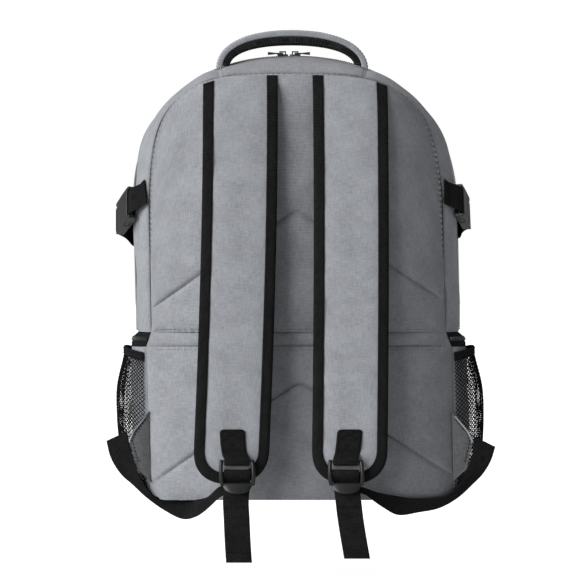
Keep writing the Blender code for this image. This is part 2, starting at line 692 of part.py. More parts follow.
def make_straps():
    """Padded shoulder straps, each with a folded binding round its edge."""
    for name in SIDES:
        outline, top_count = strap_edge(name, 0.0)
        seam, _ = strap_edge(name, STRAP_BINDING)
        core, _ = strap_edge(name, STRAP_BINDING + GAP)
        rows = []
        for line, squeeze in zip((outline, outline, seam), BINDING_PINCH):
            inner, outer = strap_faces(line[:, 0], line[:, 1])
            pinch = (inner - outer) * squeeze
            rows.append((line, outer + pinch, inner - pinch))
        edge, _, flat = rows
        middle = edge[0] * 0.75 + flat[0] * 0.25
        ring = [
            np.column_stack([edge[0][:, 0], edge[1], edge[0][:, 1]]),
            np.column_stack([middle[:, 0], flat[1], middle[:, 1]]),
            np.column_stack([flat[0][:, 0], flat[1], flat[0][:, 1]]),
            np.column_stack([flat[0][:, 0], flat[2], flat[0][:, 1]]),
            np.column_stack([middle[:, 0], flat[2], middle[:, 1]]),
            np.column_stack([edge[0][:, 0], edge[2], edge[0][:, 1]]),
        ]
        add_piece(f"strap_binding_{name}", *sweep(np.array(ring)), "black_webbing")
        columns = core[top_count:-top_count]
        left_top, right_top = core[0], core[-1]
        spread = (columns[:, 0] - columns[0, 0]) / (columns[-1, 0] - columns[0, 0])
        top_x = left_top[0] + (right_top[0] - left_top[0]) * spread
        top_z = arch_height(0.0, top_x) - CLOTH - GAP
        face, back = [], []
        for share in FACE_STATIONS:
            height = top_z + (columns[:, 1] - top_z) * share
            drift = strap_centre(name, height) - strap_centre(name, columns[:, 1])
            across = columns[:, 0] + drift
            inner, outer = strap_faces(across, height)
            along = min(1.0, 12.0 * share * (1.0 - share))
            puff = STRAP_PUFF * along * (1.0 - (2.0 * spread - 1.0) ** 4)
            face.append(np.column_stack([across, outer - puff, height]))
            back.append(np.column_stack([across, inner, height]))
        add_piece(f"shoulder_strap_{name}", *slab(np.array(face), np.array(back)), "heather_fabric")


def sweep(ring):
    """Close a stack of matching lines, taken as the edges of a section, into a capped solid."""
    sides, stations = ring.shape[:2]
    ids = np.arange(sides * stations).reshape(sides, stations)
    faces = []
    for side in range(sides):
        after = (side + 1) % sides
        for station in range(stations - 1):
            faces.append((int(ids[side, station]), int(ids[after, station]),
                          int(ids[after, station + 1]), int(ids[side, station + 1])))
    faces.append(tuple(int(i) for i in ids[::-1, 0]))
    faces.append(tuple(int(i) for i in ids[:, -1]))
    return ring.reshape(-1, 3), faces


def lock_place(name):
    """Centre of a ladder lock, in front of the strap's end and set in towards the middle."""
    height = LOCK_HEIGHT
    across = strap_centre(name, height) - SIDES[name] * LOCK_SETIN[name]
    _, front = strap_faces(across, height)
    return np.array([across, float(front) - LOCK_STANDOFF, height])


def make_lock(name):
    """A ladder lock: frame, centre bar, two windows and a lip that curls forward."""
    half, slot = WEBBING / 2.0 + LOCK_SIDE, WEBBING / 2.0 + 2.0 * GAP
    bar, window, thick = LOCK_BEND * 0.45, LOCK_WINDOW, LOCK_THICKNESS / 2.0
    reach = window + LOCK_RAIL
    points, faces = block_solid(
        [(-half, half, -thick, thick, -reach, reach),
         (-slot, slot, -thick, thick, -reach - LOCK_LIP, -reach)],
        [(-slot, slot, -thick, thick, bar, window), (-slot, slot, -thick, thick, -window, -bar),
         (-slot, slot, -thick, -bar, -bar, bar), (-slot, slot, bar, thick, -bar, bar)])
    curl = np.clip((-points[:, 2] - reach) / LOCK_LIP, 0.0, 1.0)
    points[:, 1] -= LOCK_CURL * curl
    add_piece(f"ladder_lock_{name}", points + lock_place(name), faces, "black_plastic")


def make_tab(name):
    """Stitched tab on the strap's face whose end turns round the lock's top bar."""
    place = lock_place(name)
    lock_half = LOCK_WINDOW + LOCK_RAIL
    foot = LOCK_HEIGHT + lock_half + CLOTH
    top = foot + TAB_LENGTH * np.array(TAB_ROWS)
    _, front = strap_faces(place[0], top)
    lift = WEBBING_THICKNESS / 2.0 + 3.0 * GAP
    flat = np.column_stack([front - lift, top])
    hook = place[1:] + np.array(TAB_HOOK) * (-lock_half, lock_half)
    path = np.vstack([flat, hook])
    half = WEBBING / 2.0 - GAP
    up = np.clip((path[:, 1] - foot) / TAB_LENGTH, 0.0, 1.0)
    centre = place[0] + (strap_centre(name, path[:, 1]) - place[0]) * up
    edges = [np.column_stack([centre + sign * half, path[:, 0], path[:, 1]]) for sign in (-1.0, 1.0)]
    add_piece(f"strap_tab_{name}", *band(*edges, WEBBING_THICKNESS), "black_webbing")


def make_wing(name):
    """Triangular fabric tab caught in the back seam, which carries the webbing's sewn end."""
    side = SIDES[name]
    root = section(0.0)["low_half"]
    span = WING_TOP - WING_BOTTOM
    seam = [(root, WING_TOP - span * share) for share in WING_SEAM]
    reach = [(root + WING_REACH * out, WING_TOP - span * share) for share, out in WING_EDGE]
    seat = -(CLOTH * 0.6 + GAP)
    inner = [(side * x, seat, z) for x, z in seam]
    outer = [(side * x, seat, z) for x, z in reach]
    add_piece(f"strap_wing_{name}", *band(inner, outer, CLOTH), "heather_fabric")


def make_adjusting_webbing(name):
    """One length of webbing: from the wing, round under the bag, through the lock, to its tail."""
    side = SIDES[name]
    place = lock_place(name)
    wing = np.array([side * (section(0.0)["low_half"] + WING_REACH), 0.0, 0.0])
    rows = LEFT_LOOP if side < 0 else RIGHT_LOOP
    edges = {"outer": [], "inner": []}
    for row in rows:
        values = dict(zip(LOOP_COLUMNS, row))
        for edge, line in edges.items():
            across = place[0] + (wing[0] - place[0]) * values[f"{edge}_across"]
            line.append((across, values[f"{edge}_depth"] * LOWER_DEPTH,
                         -LOOP_DROP * values[f"{edge}_drop"]))
    half = WEBBING / 2.0
    bends = np.array(LOCK_PATH) * LOCK_BEND
    tail = np.array(TAIL_RUN[name])
    start = bends[-1]
    stations = [(0.0, place[1] - forward, place[2] + up) for forward, up in bends]
    for share, sway, swing in tail[1:]:
        stations.append(((sway - tail[0, 1]) * WEBBING, place[1] - start[0] - swing * WEBBING,
                         place[2] + start[1] - TAIL_LENGTH[name] * share))
    stations = np.array(stations) + (place[0], 0.0, 0.0)
    outer = np.vstack([edges["outer"], stations + (side * half, 0.0, 0.0)])
    inner = np.vstack([edges["inner"], stations - (side * half, 0.0, 0.0)])
    add_piece(f"adjusting_webbing_{name}", *band(inner, outer, WEBBING_THICKNESS), "black_webbing")


def side_point(side, depth_share, height, out):
    """A point on the upper body's side at a depth and height, moved outwards."""
    shape = section(depth_share)
    share = np.clip((height - shape["spring"]) / (shape["crown"] - shape["spring"]), 0.0, 1.0)
    across = shape["half"] * (1.0 - share ** shape["power"]) ** (1.0 / shape["power"])
    return np.array([side * (across + out), depth_share * float(depth_at(height)), height])


def sag_line(name, depth_share):
    """Height of the slack compression strap at a depth: it hangs lowest past the buckle."""
    table = np.array(STRAP_SAG).T
    return COMPRESSION_HEIGHT - COMPRESSION_FALL[name] * np.interp(depth_share, table[0], table[1])


def buckle_frame(name):
    """Start and end of a side buckle, and its axes: along the strap, outwards, up its width."""
    side = SIDES[name]
    body_depth = float(depth_at(COMPRESSION_HEIGHT))
    shares = np.array([BUCKLE_SETBACK, BUCKLE_SETBACK + BUCKLE_LENGTH]) / body_depth
    ends = [side_point(side, share, sag_line(name, share), out)
            for share, out in zip(shares, (BUCKLE_STANDOFF, BUCKLE_FLARE[name]))]
    along = unit(ends[1] - ends[0])
    outward = unit(np.array([side, 0.0, 0.0]) - along * along[0] * side)
    return ends[0], ends[1], along, outward, np.cross(along, outward) * side


def make_buckle(name):
    """A side-release buckle: a hollow socket and a fork-shaped plug latched in it."""
    start, end, along, outward, upward = buckle_frame(name)
    half, slot = WEBBING / 2.0 + BUCKLE_SIDE, WEBBING / 2.0 + 3.0 * GAP
    thick, wall, tip = BUCKLE_HALF_THICKNESS, BUCKLE_WALL, BUCKLE_ARM
    length = float(np.linalg.norm(end - start))
    mouth = length * BUCKLE_MOUTH
    window_in, window_out = (length * share for share in BUCKLE_WINDOW)
    bar, gate = BUCKLE_BAR, BUCKLE_GATE
    socket = block_solid(
        [(0.0, mouth, -half, half, -thick, thick)],
        [(bar, gate, -slot, slot, -thick, thick),
         (0.0, bar, -slot, slot, bar / 2.0, thick), (0.0, bar, -slot, slot, -thick, -bar / 2.0),
         (gate + wall, mouth, -slot, slot, -thick + wall, thick - wall),
         (window_in, window_out, -half, half, -thick + wall, thick - wall)])
    arm = thick - wall - GAP
    reach = window_in + GAP
    window_end = window_out - GAP
    fit, fit_slot = half - GAP, slot - GAP
    plug = block_solid(
        [(mouth + GAP, length, -fit, fit, -thick, thick),
         (reach, mouth + GAP, fit_slot - tip, fit_slot, -arm, arm),
         (reach, mouth + GAP, -fit_slot, -fit_slot + tip, -arm, arm),
         (reach, window_end, fit_slot, fit, -arm, arm),
         (reach, window_end, -fit, -fit_slot, -arm, arm)],
        [(length - gate, length - bar, -fit_slot, fit_slot, -thick, thick),
         (length - bar, length, -fit_slot, fit_slot, bar / 2.0, thick),
         (length - bar, length, -fit_slot, fit_slot, -thick, -bar / 2.0)])
    axes = np.array([along, upward, outward])
    for kind, (points, faces) in (("socket", socket), ("plug", plug)):
        taper = 1.0 - 0.12 * np.abs(2.0 * points[:, 0] / length - 1.0) ** 6
        shaped = points * np.column_stack([np.ones(len(points)), np.ones(len(points)), taper])
        add_piece(f"buckle_{kind}_{name}", start + shaped @ axes, faces, "black_plastic")


def make_compression(name):
    """Webbing from the back seam to the buckle, and from the buckle to the front seam."""
    side = SIDES[name]
    start, end, along, outward, upward = buckle_frame(name)
    body_depth = float(depth_at(COMPRESSION_HEIGHT))
    front_start = (BUCKLE_SETBACK + BUCKLE_LENGTH) / body_depth
    lift = WEBBING_THICKNESS / 2.0 + 3.0 * GAP
    back_rows = ((0.004, lift), (0.04, lift + 0.0012))
    front_rows = ((front_start + 0.06, BUCKLE_FLARE[name] * 0.65), (front_start + 0.16, 0.004),
                  (0.75, 2.0 * lift), (0.90, 2.5 * lift), (0.985, 1.5 * lift))
    hook = np.array(BAR_HOOK) * (BUCKLE_BAR, BUCKLE_BAR)
    pieces = {
        "back": [side_point(side, share, sag_line(name, share), out) for share, out in back_rows]
                + [start + along * run + outward * out for run, out in hook],
        "front": [end - along * run + outward * out for run, out in hook[::-1]]
                 + [side_point(side, share, sag_line(name, share), out) for share, out in front_rows],
    }
    for kind, line in pieces.items():
        line = np.array(line)
        edges = [line + sign * upward * WEBBING / 2.0 for sign in (-1.0, 1.0)]
        for edge in edges:
            for point in edge:
                point[0] = side * max(abs(point[0]), body_reach(point) + lift)
        add_piece(f"compression_{kind}_{name}", *band(*edges, WEBBING_THICKNESS), "black_webbing")


def body_reach(point):
    """How far the upper body's side stands out beside a point."""
    share = float(point[1] / depth_at(point[2]))
    return abs(side_point(1, min(share, 1.0), point[2], 0.0)[0])


def make_handle():
    """Carrying handle: an arch of webbing over a soft lining, sewn down at the handle seams."""
    front = HANDLE_SETBACK - HANDLE_WIDTH / 2.0
    angle = np.linspace(0.0, math.pi, 17)
    for name, top, thickness, width, material in (
            ("handle", 0.0, HANDLE_THICKNESS, HANDLE_WIDTH, "heather_fabric"),
            ("handle_mesh", HANDLE_THICKNESS + GAP, HANDLE_THICKNESS,
             HANDLE_WIDTH - 2.0 * LINING_INSET, "black_net")):
        grids = []
        for inset in (top, top + thickness):
            half, rise = HANDLE_SPAN / 2.0 - inset, HANDLE_RISE - inset
            across = -np.sign(np.cos(angle)) * np.abs(np.cos(angle)) ** (2.0 / HANDLE_POWER) * half
            lift = np.sin(angle) ** (2.0 / HANDLE_POWER) * rise
            rows = []
            for share in (0.0, 0.5, 1.0):
                depth = front + (HANDLE_WIDTH - width) / 2.0 + width * share
                seat = top_surface(across, depth) + 2.0 * GAP
                fade = (lift / rise) ** 0.5
                level = top_surface(HANDLE_SPAN / 2.0, front) + 2.0 * GAP
                height = seat * (1.0 - fade) + level * fade + lift
                rows.append(np.column_stack([across, np.full(across.size, depth), height]))
            grids.append(np.array(rows))
        add_piece(name, *slab(*grids), material)


def top_surface(across, depth):
    """Height of the bag's top at a place across and a depth from the back seam."""
    share = depth / TOP_DEPTH
    for _ in range(4):
        height = arch_height(share, across)
        share = depth / float(np.mean(depth_at(height)))
    return arch_height(share, across)


def make_zip_ends():
    """Two sliders nose to nose on the crown, each with its hinged pull lying outwards."""
    middle = (ZIP_START + ZIP_END) / 2.0
    crown = arch_height(middle, 0.0)
    depth = middle * float(depth_at(crown))
    seat = float(crown) + COIL_RISE + GAP
    long, wide, base = SLIDER_PITCH / 2.0 - 0.0008, 0.0038, 0.0020
    post, post_thick, bridge_half, bridge_low, bridge_top = 0.0034, 0.0012, 0.0011, 0.0041, 0.0053
    bar_level, bar_half = 0.0030, 0.0005
    rail_in, rail_out, grip_start, grip_half = 0.0017, 0.0029, 0.0070, 0.0031
    for name, side in SIDES.items():
        anchor = np.array([PULL_X + side * SLIDER_PITCH / 2.0 + lean_at(seat), depth, seat])
        points, faces = block_solid(
            [(-long, long, -wide, wide, 0.0, base),
             (-post, -post + post_thick, -bridge_half, bridge_half, base, bridge_top),
             (post - post_thick, post, -bridge_half, bridge_half, base, bridge_top),
             (-post + post_thick, post - post_thick, -bridge_half, bridge_half, bridge_low,
              bridge_top)])
        nose = 1.0 - 0.30 * np.clip(-side * points[:, 0] / long, 0.0, 1.0)
        points[:, 1] *= np.where(points[:, 2] <= base + 1e-6, nose, 1.0)
        add_piece(f"zip_slider_{name}", points, faces, "zip_metal", leans=False, location=anchor)
        points, faces = block_solid(
            [(-bar_half, bar_half, -rail_out, rail_out, -bar_half, bar_half),
             (bar_half, grip_start, rail_in, rail_out, -bar_half, bar_half),
             (bar_half, grip_start, -rail_out, -rail_in, -bar_half, bar_half),
             (grip_start, PULL_LENGTH, -rail_out, rail_out, -bar_half, bar_half)])
        grip = np.clip((points[:, 0] - grip_start) / (PULL_LENGTH - grip_start), 0.0, 1.0)
        points[:, 1] *= 1.0 + (grip_half / rail_out - 1.0) * grip
        points[:, 2] *= 1.0 + 1.8 * grip
        points[:, 0] *= side
        hinge = anchor + (0.0, 0.0, bar_level)
        add_piece(f"zip_pull_{name}", points, faces, "zip_metal", leans=False, location=hinge)


clear_scene()
HANG_HEIGHT = float(top_surface(HANDLE_SPAN / 2.0, HANDLE_SETBACK - HANDLE_WIDTH / 2.0)
                    + HANDLE_RISE - 2.0 * HANDLE_THICKNESS + GAP)
materials = {name: make_material(name) for name in MATERIALS}
bag_frame = bpy.data.objects.new("bag_frame", None)
bpy.context.collection.objects.link(bag_frame)
bag_frame.location = (0.0, -HANDLE_SETBACK, -HANG_HEIGHT)
make_upper_walls()
make_main_zip()
make_lower_walls()
make_panels()
make_back_band()
make_cooler_zip()
make_pockets()
make_straps()
for side_name in SIDES:
    make_lock(side_name)
    make_tab(side_name)
    make_wing(side_name)
    make_adjusting_webbing(side_name)
    make_buckle(side_name)
    make_compression(side_name)
make_handle()
make_zip_ends()
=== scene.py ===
# %% [markdown]
# # Dressing a cooler backpack
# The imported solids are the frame: they fix every size and every place. Each cell below takes one
# kind of piece, rebuilds it as a fine surface worked out with numpy, and gives it a finish made of
# shader nodes. The frame itself is never moved.
# %% Load the frame
import math

import bmesh
import bpy
import numpy as np
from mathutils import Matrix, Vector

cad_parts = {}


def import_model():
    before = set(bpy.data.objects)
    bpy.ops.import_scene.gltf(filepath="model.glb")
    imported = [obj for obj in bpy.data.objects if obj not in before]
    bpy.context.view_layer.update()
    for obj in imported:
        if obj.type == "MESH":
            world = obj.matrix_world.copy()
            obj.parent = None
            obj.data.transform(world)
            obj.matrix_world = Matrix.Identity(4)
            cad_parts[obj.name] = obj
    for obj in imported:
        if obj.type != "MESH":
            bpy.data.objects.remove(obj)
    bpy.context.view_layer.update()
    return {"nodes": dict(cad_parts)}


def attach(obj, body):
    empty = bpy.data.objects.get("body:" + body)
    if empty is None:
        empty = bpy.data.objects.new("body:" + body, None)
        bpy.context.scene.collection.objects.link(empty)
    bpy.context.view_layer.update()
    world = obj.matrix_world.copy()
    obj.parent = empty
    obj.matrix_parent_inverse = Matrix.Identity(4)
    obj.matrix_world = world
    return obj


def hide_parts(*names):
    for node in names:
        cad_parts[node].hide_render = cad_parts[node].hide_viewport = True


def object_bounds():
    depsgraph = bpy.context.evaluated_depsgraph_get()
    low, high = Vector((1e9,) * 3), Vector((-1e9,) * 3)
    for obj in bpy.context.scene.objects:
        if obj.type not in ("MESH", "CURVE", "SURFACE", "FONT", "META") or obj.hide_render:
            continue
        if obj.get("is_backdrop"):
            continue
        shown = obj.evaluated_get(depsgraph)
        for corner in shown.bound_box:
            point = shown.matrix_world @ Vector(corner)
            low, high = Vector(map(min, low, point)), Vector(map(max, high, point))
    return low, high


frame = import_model()
nodes = frame["nodes"]
print("solids in the frame:", len(nodes))

# %% [markdown]
# ## Sizes
# These are the driving sizes of the bag, in metres, in its own frame: x = 0 under the handle, y = 0
# at the back seam, z = 0 at the underside. The bag leans a little as it hangs, so a point's place in
# the world is worked out in one function. Keeping that in one place means that every other cell can
# think of an upright bag.
# %% Named sizes and the bag's place in the world
BODY_HEIGHT, UPPER_WIDTH, LOWER_WIDTH = 0.440, 0.325, 0.338
LOWER_DEPTH, TOP_DEPTH, DEPTH_POWER = 0.170, 0.132, 1.6
WAIST_TOP, WAIST_BOTTOM = 0.1645, 0.1505
LEAN, CLOTH, GAP = 0.0234, 0.002, 0.0003
PAD_EDGE, PAD_RISE, FRONT_RISE = 0.005, 0.006, 0.010
UPPER_FOLD_APEX, LOWER_FOLD_APEX, FOLD_SLOPE, FOLD_ROUND, FOLD_TILT = 0.282, 0.113, 0.655, 0.006, 0.030
HANDLE_SPAN, HANDLE_WIDTH, HANDLE_RISE = 0.150, 0.030, 0.0385
HANDLE_THICKNESS, HANDLE_SETBACK, HANDLE_POWER = 0.0065, 0.040, 2.1
HANG_HEIGHT = 0.449657
ZIP_START, ZIP_END = 0.50, 0.58
SIDES = {"left": -1, "right": 1}
TOWARD_BACK = np.array([0.0, -1.0, 0.0])


def world(points):
    """Place in the world: x moves by LEAN times the drop below the handle, then the whole bag
    shifts so that the underside of the handle is the origin."""
    placed = np.array(points, dtype=float)
    placed[..., 0] += LEAN * (HANG_HEIGHT - placed[..., 2])
    return placed - (0.0, HANDLE_SETBACK, HANG_HEIGHT)


print("body height in mm:", BODY_HEIGHT * 1000)

# %% [markdown]
# ## Curves and cloth noise
# A table has few rows, so a smooth curve through the rows keeps a surface free of flat
# facets. Creases come from a sum of plane waves with fixed directions: cheap, and the same each run.
# %% Smooth curves, even spacing and creases


def flow(at, knots, values):
    """Cubic through the knots: each stretch is a Hermite curve whose end slopes are the slopes
    between the neighbouring knots."""
    knots, values = np.asarray(knots, float), np.asarray(values, float)
    slopes = np.gradient(values, knots, axis=0)
    at = np.clip(np.asarray(at, float), knots[0], knots[-1])
    cell = np.clip(np.searchsorted(knots, at) - 1, 0, len(knots) - 2)
    span = knots[cell + 1] - knots[cell]
    t = (at - knots[cell]) / span
    if values.ndim > 1:
        t, span = t[..., None], span[..., None]
    rise, fall = 3.0 * t ** 2 - 2.0 * t ** 3, 1.0 - 3.0 * t ** 2 + 2.0 * t ** 3
    out, into = t ** 3 - 2.0 * t ** 2 + t, t ** 3 - t ** 2
    return (fall * values[cell] + rise * values[cell + 1]
            + span * (out * slopes[cell] + into * slopes[cell + 1]))


def lengths(line):
    """Running length along a line of points."""
    steps = np.linalg.norm(np.diff(line, axis=0), axis=1)
    return np.concatenate([[0.0], np.cumsum(steps)])


def sample(line, run, at):
    """A line, or values along it, at the running lengths in at."""
    return np.column_stack([np.interp(at, run, values) for values in line.T])


def evenly(line, count):
    """The same line with its points at equal steps of length."""
    run = lengths(line)
    return sample(line, run, np.linspace(0.0, run[-1], count))


def through(points, count):
    """A smooth line through a few chosen points, at equal steps of length."""
    points = np.asarray(points, float)
    return evenly(flow(np.linspace(0.0, lengths(points)[-1], count * 4), lengths(points), points), count)


def creases(a, b, size, seed, stretch=1.0, waves=9):
    """Soft noise between about -1 and 1: the mean of plane waves about one size long, with seeded
    directions and phases; stretch above 1 draws the creases out along a."""
    dice = np.random.default_rng(seed)
    total = np.zeros(np.broadcast(a, b).shape)
    for _ in range(waves):
        angle, phase, scale = dice.uniform(0, math.pi), dice.uniform(0, 2 * math.pi), dice.uniform(0.6, 1.7)
        along = a * math.cos(angle) / stretch + b * math.sin(angle)
        total += np.sin(2.0 * math.pi * along / (size * scale) + phase)
    return total / waves * 1.8


def unit(vectors):
    """Vectors of length one."""
    return vectors / np.maximum(np.linalg.norm(vectors, axis=-1, keepdims=True), 1e-12)


def normals(grid):
    """Unit normals of a grid: the cross product of its two running directions."""
    return unit(np.cross(np.gradient(grid, axis=1), np.gradient(grid, axis=0)))


def facing_out(grid, keep=(1.0, 1.0, 1.0)):
    """Normals turned away from the grid's mean point, whose x, y and z are multiplied by keep."""
    out = normals(grid)
    centre = grid.reshape(-1, 3).mean(axis=0) * keep
    return out if np.sum(out * (grid - centre)) >= 0.0 else -out


print("creases run from", round(float(creases(np.linspace(0, 1, 99), 0.0, 0.1, 1).min()), 2))

# %% [markdown]
# ## From grids to pieces
# A grid of points becomes a mesh with `from_pydata`, and its UV map holds real metres, so a weave
# keeps its size on every piece. A piece of cloth is a closed slab with two faces and a rim; a strap
# or a binding is a profile carried along a path.
# %% Mesh makers
finishes = {}
SHARP_ANGLE = math.radians(50.0)
STITCH_SINK = 0.4


def make_piece(name, points, faces, finish, slot, stands_for=(), body="bag", uv=None, smooth=True):
    """Put points and faces into a mesh, shade it, ride it on its body and hide the solids it stands for."""
    mesh = bpy.data.meshes.new(name)
    mesh.from_pydata(np.asarray(points, float).tolist(), [], faces)
    if uv is not None:
        layer = mesh.uv_layers.new(name="UVMap")
        corner = np.empty(len(mesh.loops), dtype=np.int32)
        mesh.loops.foreach_get("vertex_index", corner)
        layer.data.foreach_set("uv", np.asarray(uv, float)[corner].ravel())
    work = bmesh.new()
    work.from_mesh(mesh)
    bmesh.ops.recalc_face_normals(work, faces=work.faces)
    work.to_mesh(mesh)
    work.free()
    if smooth:
        mesh.shade_smooth()
        mesh.set_sharp_from_angle(angle=SHARP_ANGLE)
    piece = bpy.data.objects.new(name, mesh)
    bpy.context.collection.objects.link(piece)
    mesh.materials.append(finishes[finish])
    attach(piece, body)
    if stands_for:
        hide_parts(*stands_for)
    return piece


def quads(rows, cols, start=0, wrap=False):
    """Corner numbers of the quads of a grid, wrap closing its columns into a tube."""
    ids = np.arange(rows * cols).reshape(rows, cols) + start
    after = np.roll(ids, -1, axis=1) if wrap else ids[:, 1:]
    here = ids if wrap else ids[:, :-1]
    stack = np.stack([here[:-1], after[:-1], after[1:], here[1:]], axis=-1)
    return stack.reshape(-1, 4)


def tube_faces(rows, cols):
    """Faces of a closed profile carried along a path, with a cap at each end."""
    caps = [list(range(cols - 1, -1, -1)), list(range((rows - 1) * cols, rows * cols))]
    return quads(rows, cols, wrap=True).tolist() + caps


def metres(grid):
    """UV of a grid in metres: mean running length along its columns and along its rows."""
    across = np.cumsum(np.linalg.norm(np.diff(grid, axis=1), axis=2), axis=1).mean(axis=0)
    down = np.cumsum(np.linalg.norm(np.diff(grid, axis=0), axis=2), axis=0).mean(axis=1)
    u, v = np.concatenate([[0.0], across]), np.concatenate([[0.0], down])
    return np.stack(np.broadcast_arrays(u[None, :], v[:, None]), axis=-1).reshape(-1, 2)


def slab(name, outer, inner, finish, slot, stands_for=(), step=4, **more):
    """A piece of cloth: a fine outer grid, an inner one of every few points and a rim all round."""
    rows, cols = outer.shape[:2]
    down = np.unique(np.append(np.arange(0, rows, step), rows - 1))
    over = np.unique(np.append(np.arange(0, cols, step), cols - 1))
    fine = np.arange(rows * cols).reshape(rows, cols)
    rough = np.arange(down.size * over.size).reshape(down.size, over.size) + rows * cols
    faces = quads(rows, cols).tolist() + quads(*rough.shape, start=rows * cols)[:, ::-1].tolist()
    for line, back, marks in ((fine[0], rough[0], over), (fine[-1], rough[-1], over),
                              (fine[:, 0], rough[:, 0], down), (fine[:, -1], rough[:, -1], down)):
        for index, (start, end) in enumerate(zip(marks[:-1], marks[1:])):
            faces.append([*line[start:end + 1].tolist(), int(back[index + 1]), int(back[index])])
    uv = metres(outer)
    uv = np.vstack([uv, uv.reshape(rows, cols, 2)[np.ix_(down, over)].reshape(-1, 2)])
    points = world(np.vstack([outer.reshape(-1, 3), inner[np.ix_(down, over)].reshape(-1, 3)]))
    return make_piece(name, points, faces, finish, slot, stands_for, uv=uv, **more)


def tube(name, rings, finish, slot, stands_for=(), **more):
    """A closed profile carried along a path: rings[station, point], capped at both ends."""
    faces = tube_faces(*rings.shape[:2])
    return make_piece(name, world(rings.reshape(-1, 3)), faces, finish, slot, stands_for,
                      uv=metres(rings), **more)


def ribbon_rings(edge_a, edge_b, thickness, soft=0.32):
    """Rings of a flat band between two edge lines: across it runs from edge to edge and back, and
    its thickness falls to soft of itself at the very edge, so the edge looks woven, not cut."""
    edge_a, edge_b = np.asarray(edge_a, float), np.asarray(edge_b, float)
    middle = (edge_a + edge_b) / 2.0
    face = unit(np.cross(unit(np.gradient(middle, axis=0)), edge_b - edge_a))
    shares = np.array([0.0, 0.03, 0.10, 0.30, 0.50, 0.70, 0.90, 0.97, 1.0])
    body = np.array([soft, 0.8, 1.0, 1.0, 1.0, 1.0, 1.0, 0.8, soft]) * thickness / 2.0
    share = np.concatenate([shares, shares[::-1]])[None, :, None]
    rise = np.concatenate([body, -body[::-1]])[None, :, None]
    return edge_a[:, None] * (1.0 - share) + edge_b[:, None] * share + face[:, None] * rise


def copies(base, faces, places, axes):
    """Many copies of one small mesh: each base point is carried by its copy's three axes."""
    points = places[:, None] + np.einsum("bk,nkj->nbj", base, axes)
    index = np.asarray(faces)
    shift = (np.arange(len(places)) * len(base))[:, None, None]
    return points.reshape(-1, 3), (index[None] + shift).reshape(-1, index.shape[1])


def thread_shape(length, radius):
    """One stitch: a six-sided bead that swells from both ends to its middle."""
    turn = np.arange(6) * math.pi / 3.0
    along = np.array([-0.5, -0.32, 0.32, 0.5]) * length
    wide = np.array([0.35, 1.0, 1.0, 0.35]) * radius
    ring = np.stack([np.broadcast_to(along[:, None], (4, 6)), wide[:, None] * np.cos(turn),
                     wide[:, None] * np.sin(turn)], axis=-1)
    caps = [[0, 1, 2, 3], [0, 3, 4, 5], [21, 20, 19, 18], [23, 22, 21, 18]]
    return ring.reshape(-1, 3), np.vstack([quads(4, 6, wrap=True), caps])


def stitches(name, lines, faces_out, finish, slot, pitch=0.0034, length=0.0024, radius=0.00032):
    """Rows of thread along lines on a surface, one bead a pitch, raised along the outward normals
    by a share of the thread's radius, so that each bead sinks a little into the cloth."""
    base, shape = thread_shape(length, radius)
    spots, axes = [], []
    for line, out in zip(lines, faces_out):
        run = lengths(line)
        at = np.arange(pitch / 2.0, run[-1], pitch)
        tangent = unit(sample(np.gradient(line, axis=0), run, at))
        outward = unit(sample(np.broadcast_to(out, line.shape), run, at))
        spots.append(sample(line, run, at) + outward * radius * STITCH_SINK)
        axes.append(np.stack([tangent, unit(np.cross(outward, tangent)), outward], axis=1))
    points, quad = copies(base, shape, np.vstack(spots), np.vstack(axes))
    print(name, "stitches:", sum(len(s) for s in spots))
    return make_piece(name, world(points), quad.tolist(), finish, slot)


# %% [markdown]
# ## Finishes
# Every cloth finish uses the same two effects, so each is a node group with named inputs: a plain
# weave, whose warp and weft bulge in turn, and a melange, which mixes two yarn colours in short
# streaks. The groups put out masks, colours and heights only; each material keeps its own shader.
# %% Shared shader groups


def new_group(name, inputs, outputs):
    """A shader node group with its sockets, and its two end nodes."""
    tree = bpy.data.node_groups.new(name, "ShaderNodeTree")
    for label, kind, value in inputs:
        socket = tree.interface.new_socket(name=label, in_out="INPUT", socket_type=kind)
        socket.default_value = value
    for label, kind in outputs:
        tree.interface.new_socket(name=label, in_out="OUTPUT", socket_type=kind)
    return tree, tree.nodes.new("NodeGroupInput"), tree.nodes.new("NodeGroupOutput")


def math_node(tree, kind, a, b=None):
    """A Math node fed by sockets or numbers; returns its output."""
    node = tree.nodes.new("ShaderNodeMath")
    node.operation = kind
    for socket, value in zip(node.inputs, (a, b)):
        if value is None:
            continue
        if isinstance(value, (int, float)):
            socket.default_value = value
        else:
            tree.links.new(value, socket)
    return node.outputs[0]


def parts_of(tree, vector):
    """The three numbers of a vector socket, as outputs X, Y and Z."""
    node = tree.nodes.new("ShaderNodeSeparateXYZ")
    tree.links.new(vector, node.inputs[0])
    return node.outputs


def bump_node(tree, height, strength, distance):
    """A bump over a height; what it feeds and what feeds it is linked by the caller."""
    node = tree.nodes.new("ShaderNodeBump")
    node.inputs["Strength"].default_value = strength
    node.inputs["Distance"].default_value = distance
    tree.links.new(height, node.inputs["Height"])
    return node


def start_finish(name):
    """A new material in the table of finishes; returns its tree and its shader."""
    material = bpy.data.materials.new(name)
    material.use_nodes = True
    finishes[name] = material
    return material.node_tree, material.node_tree.nodes["Principled BSDF"]


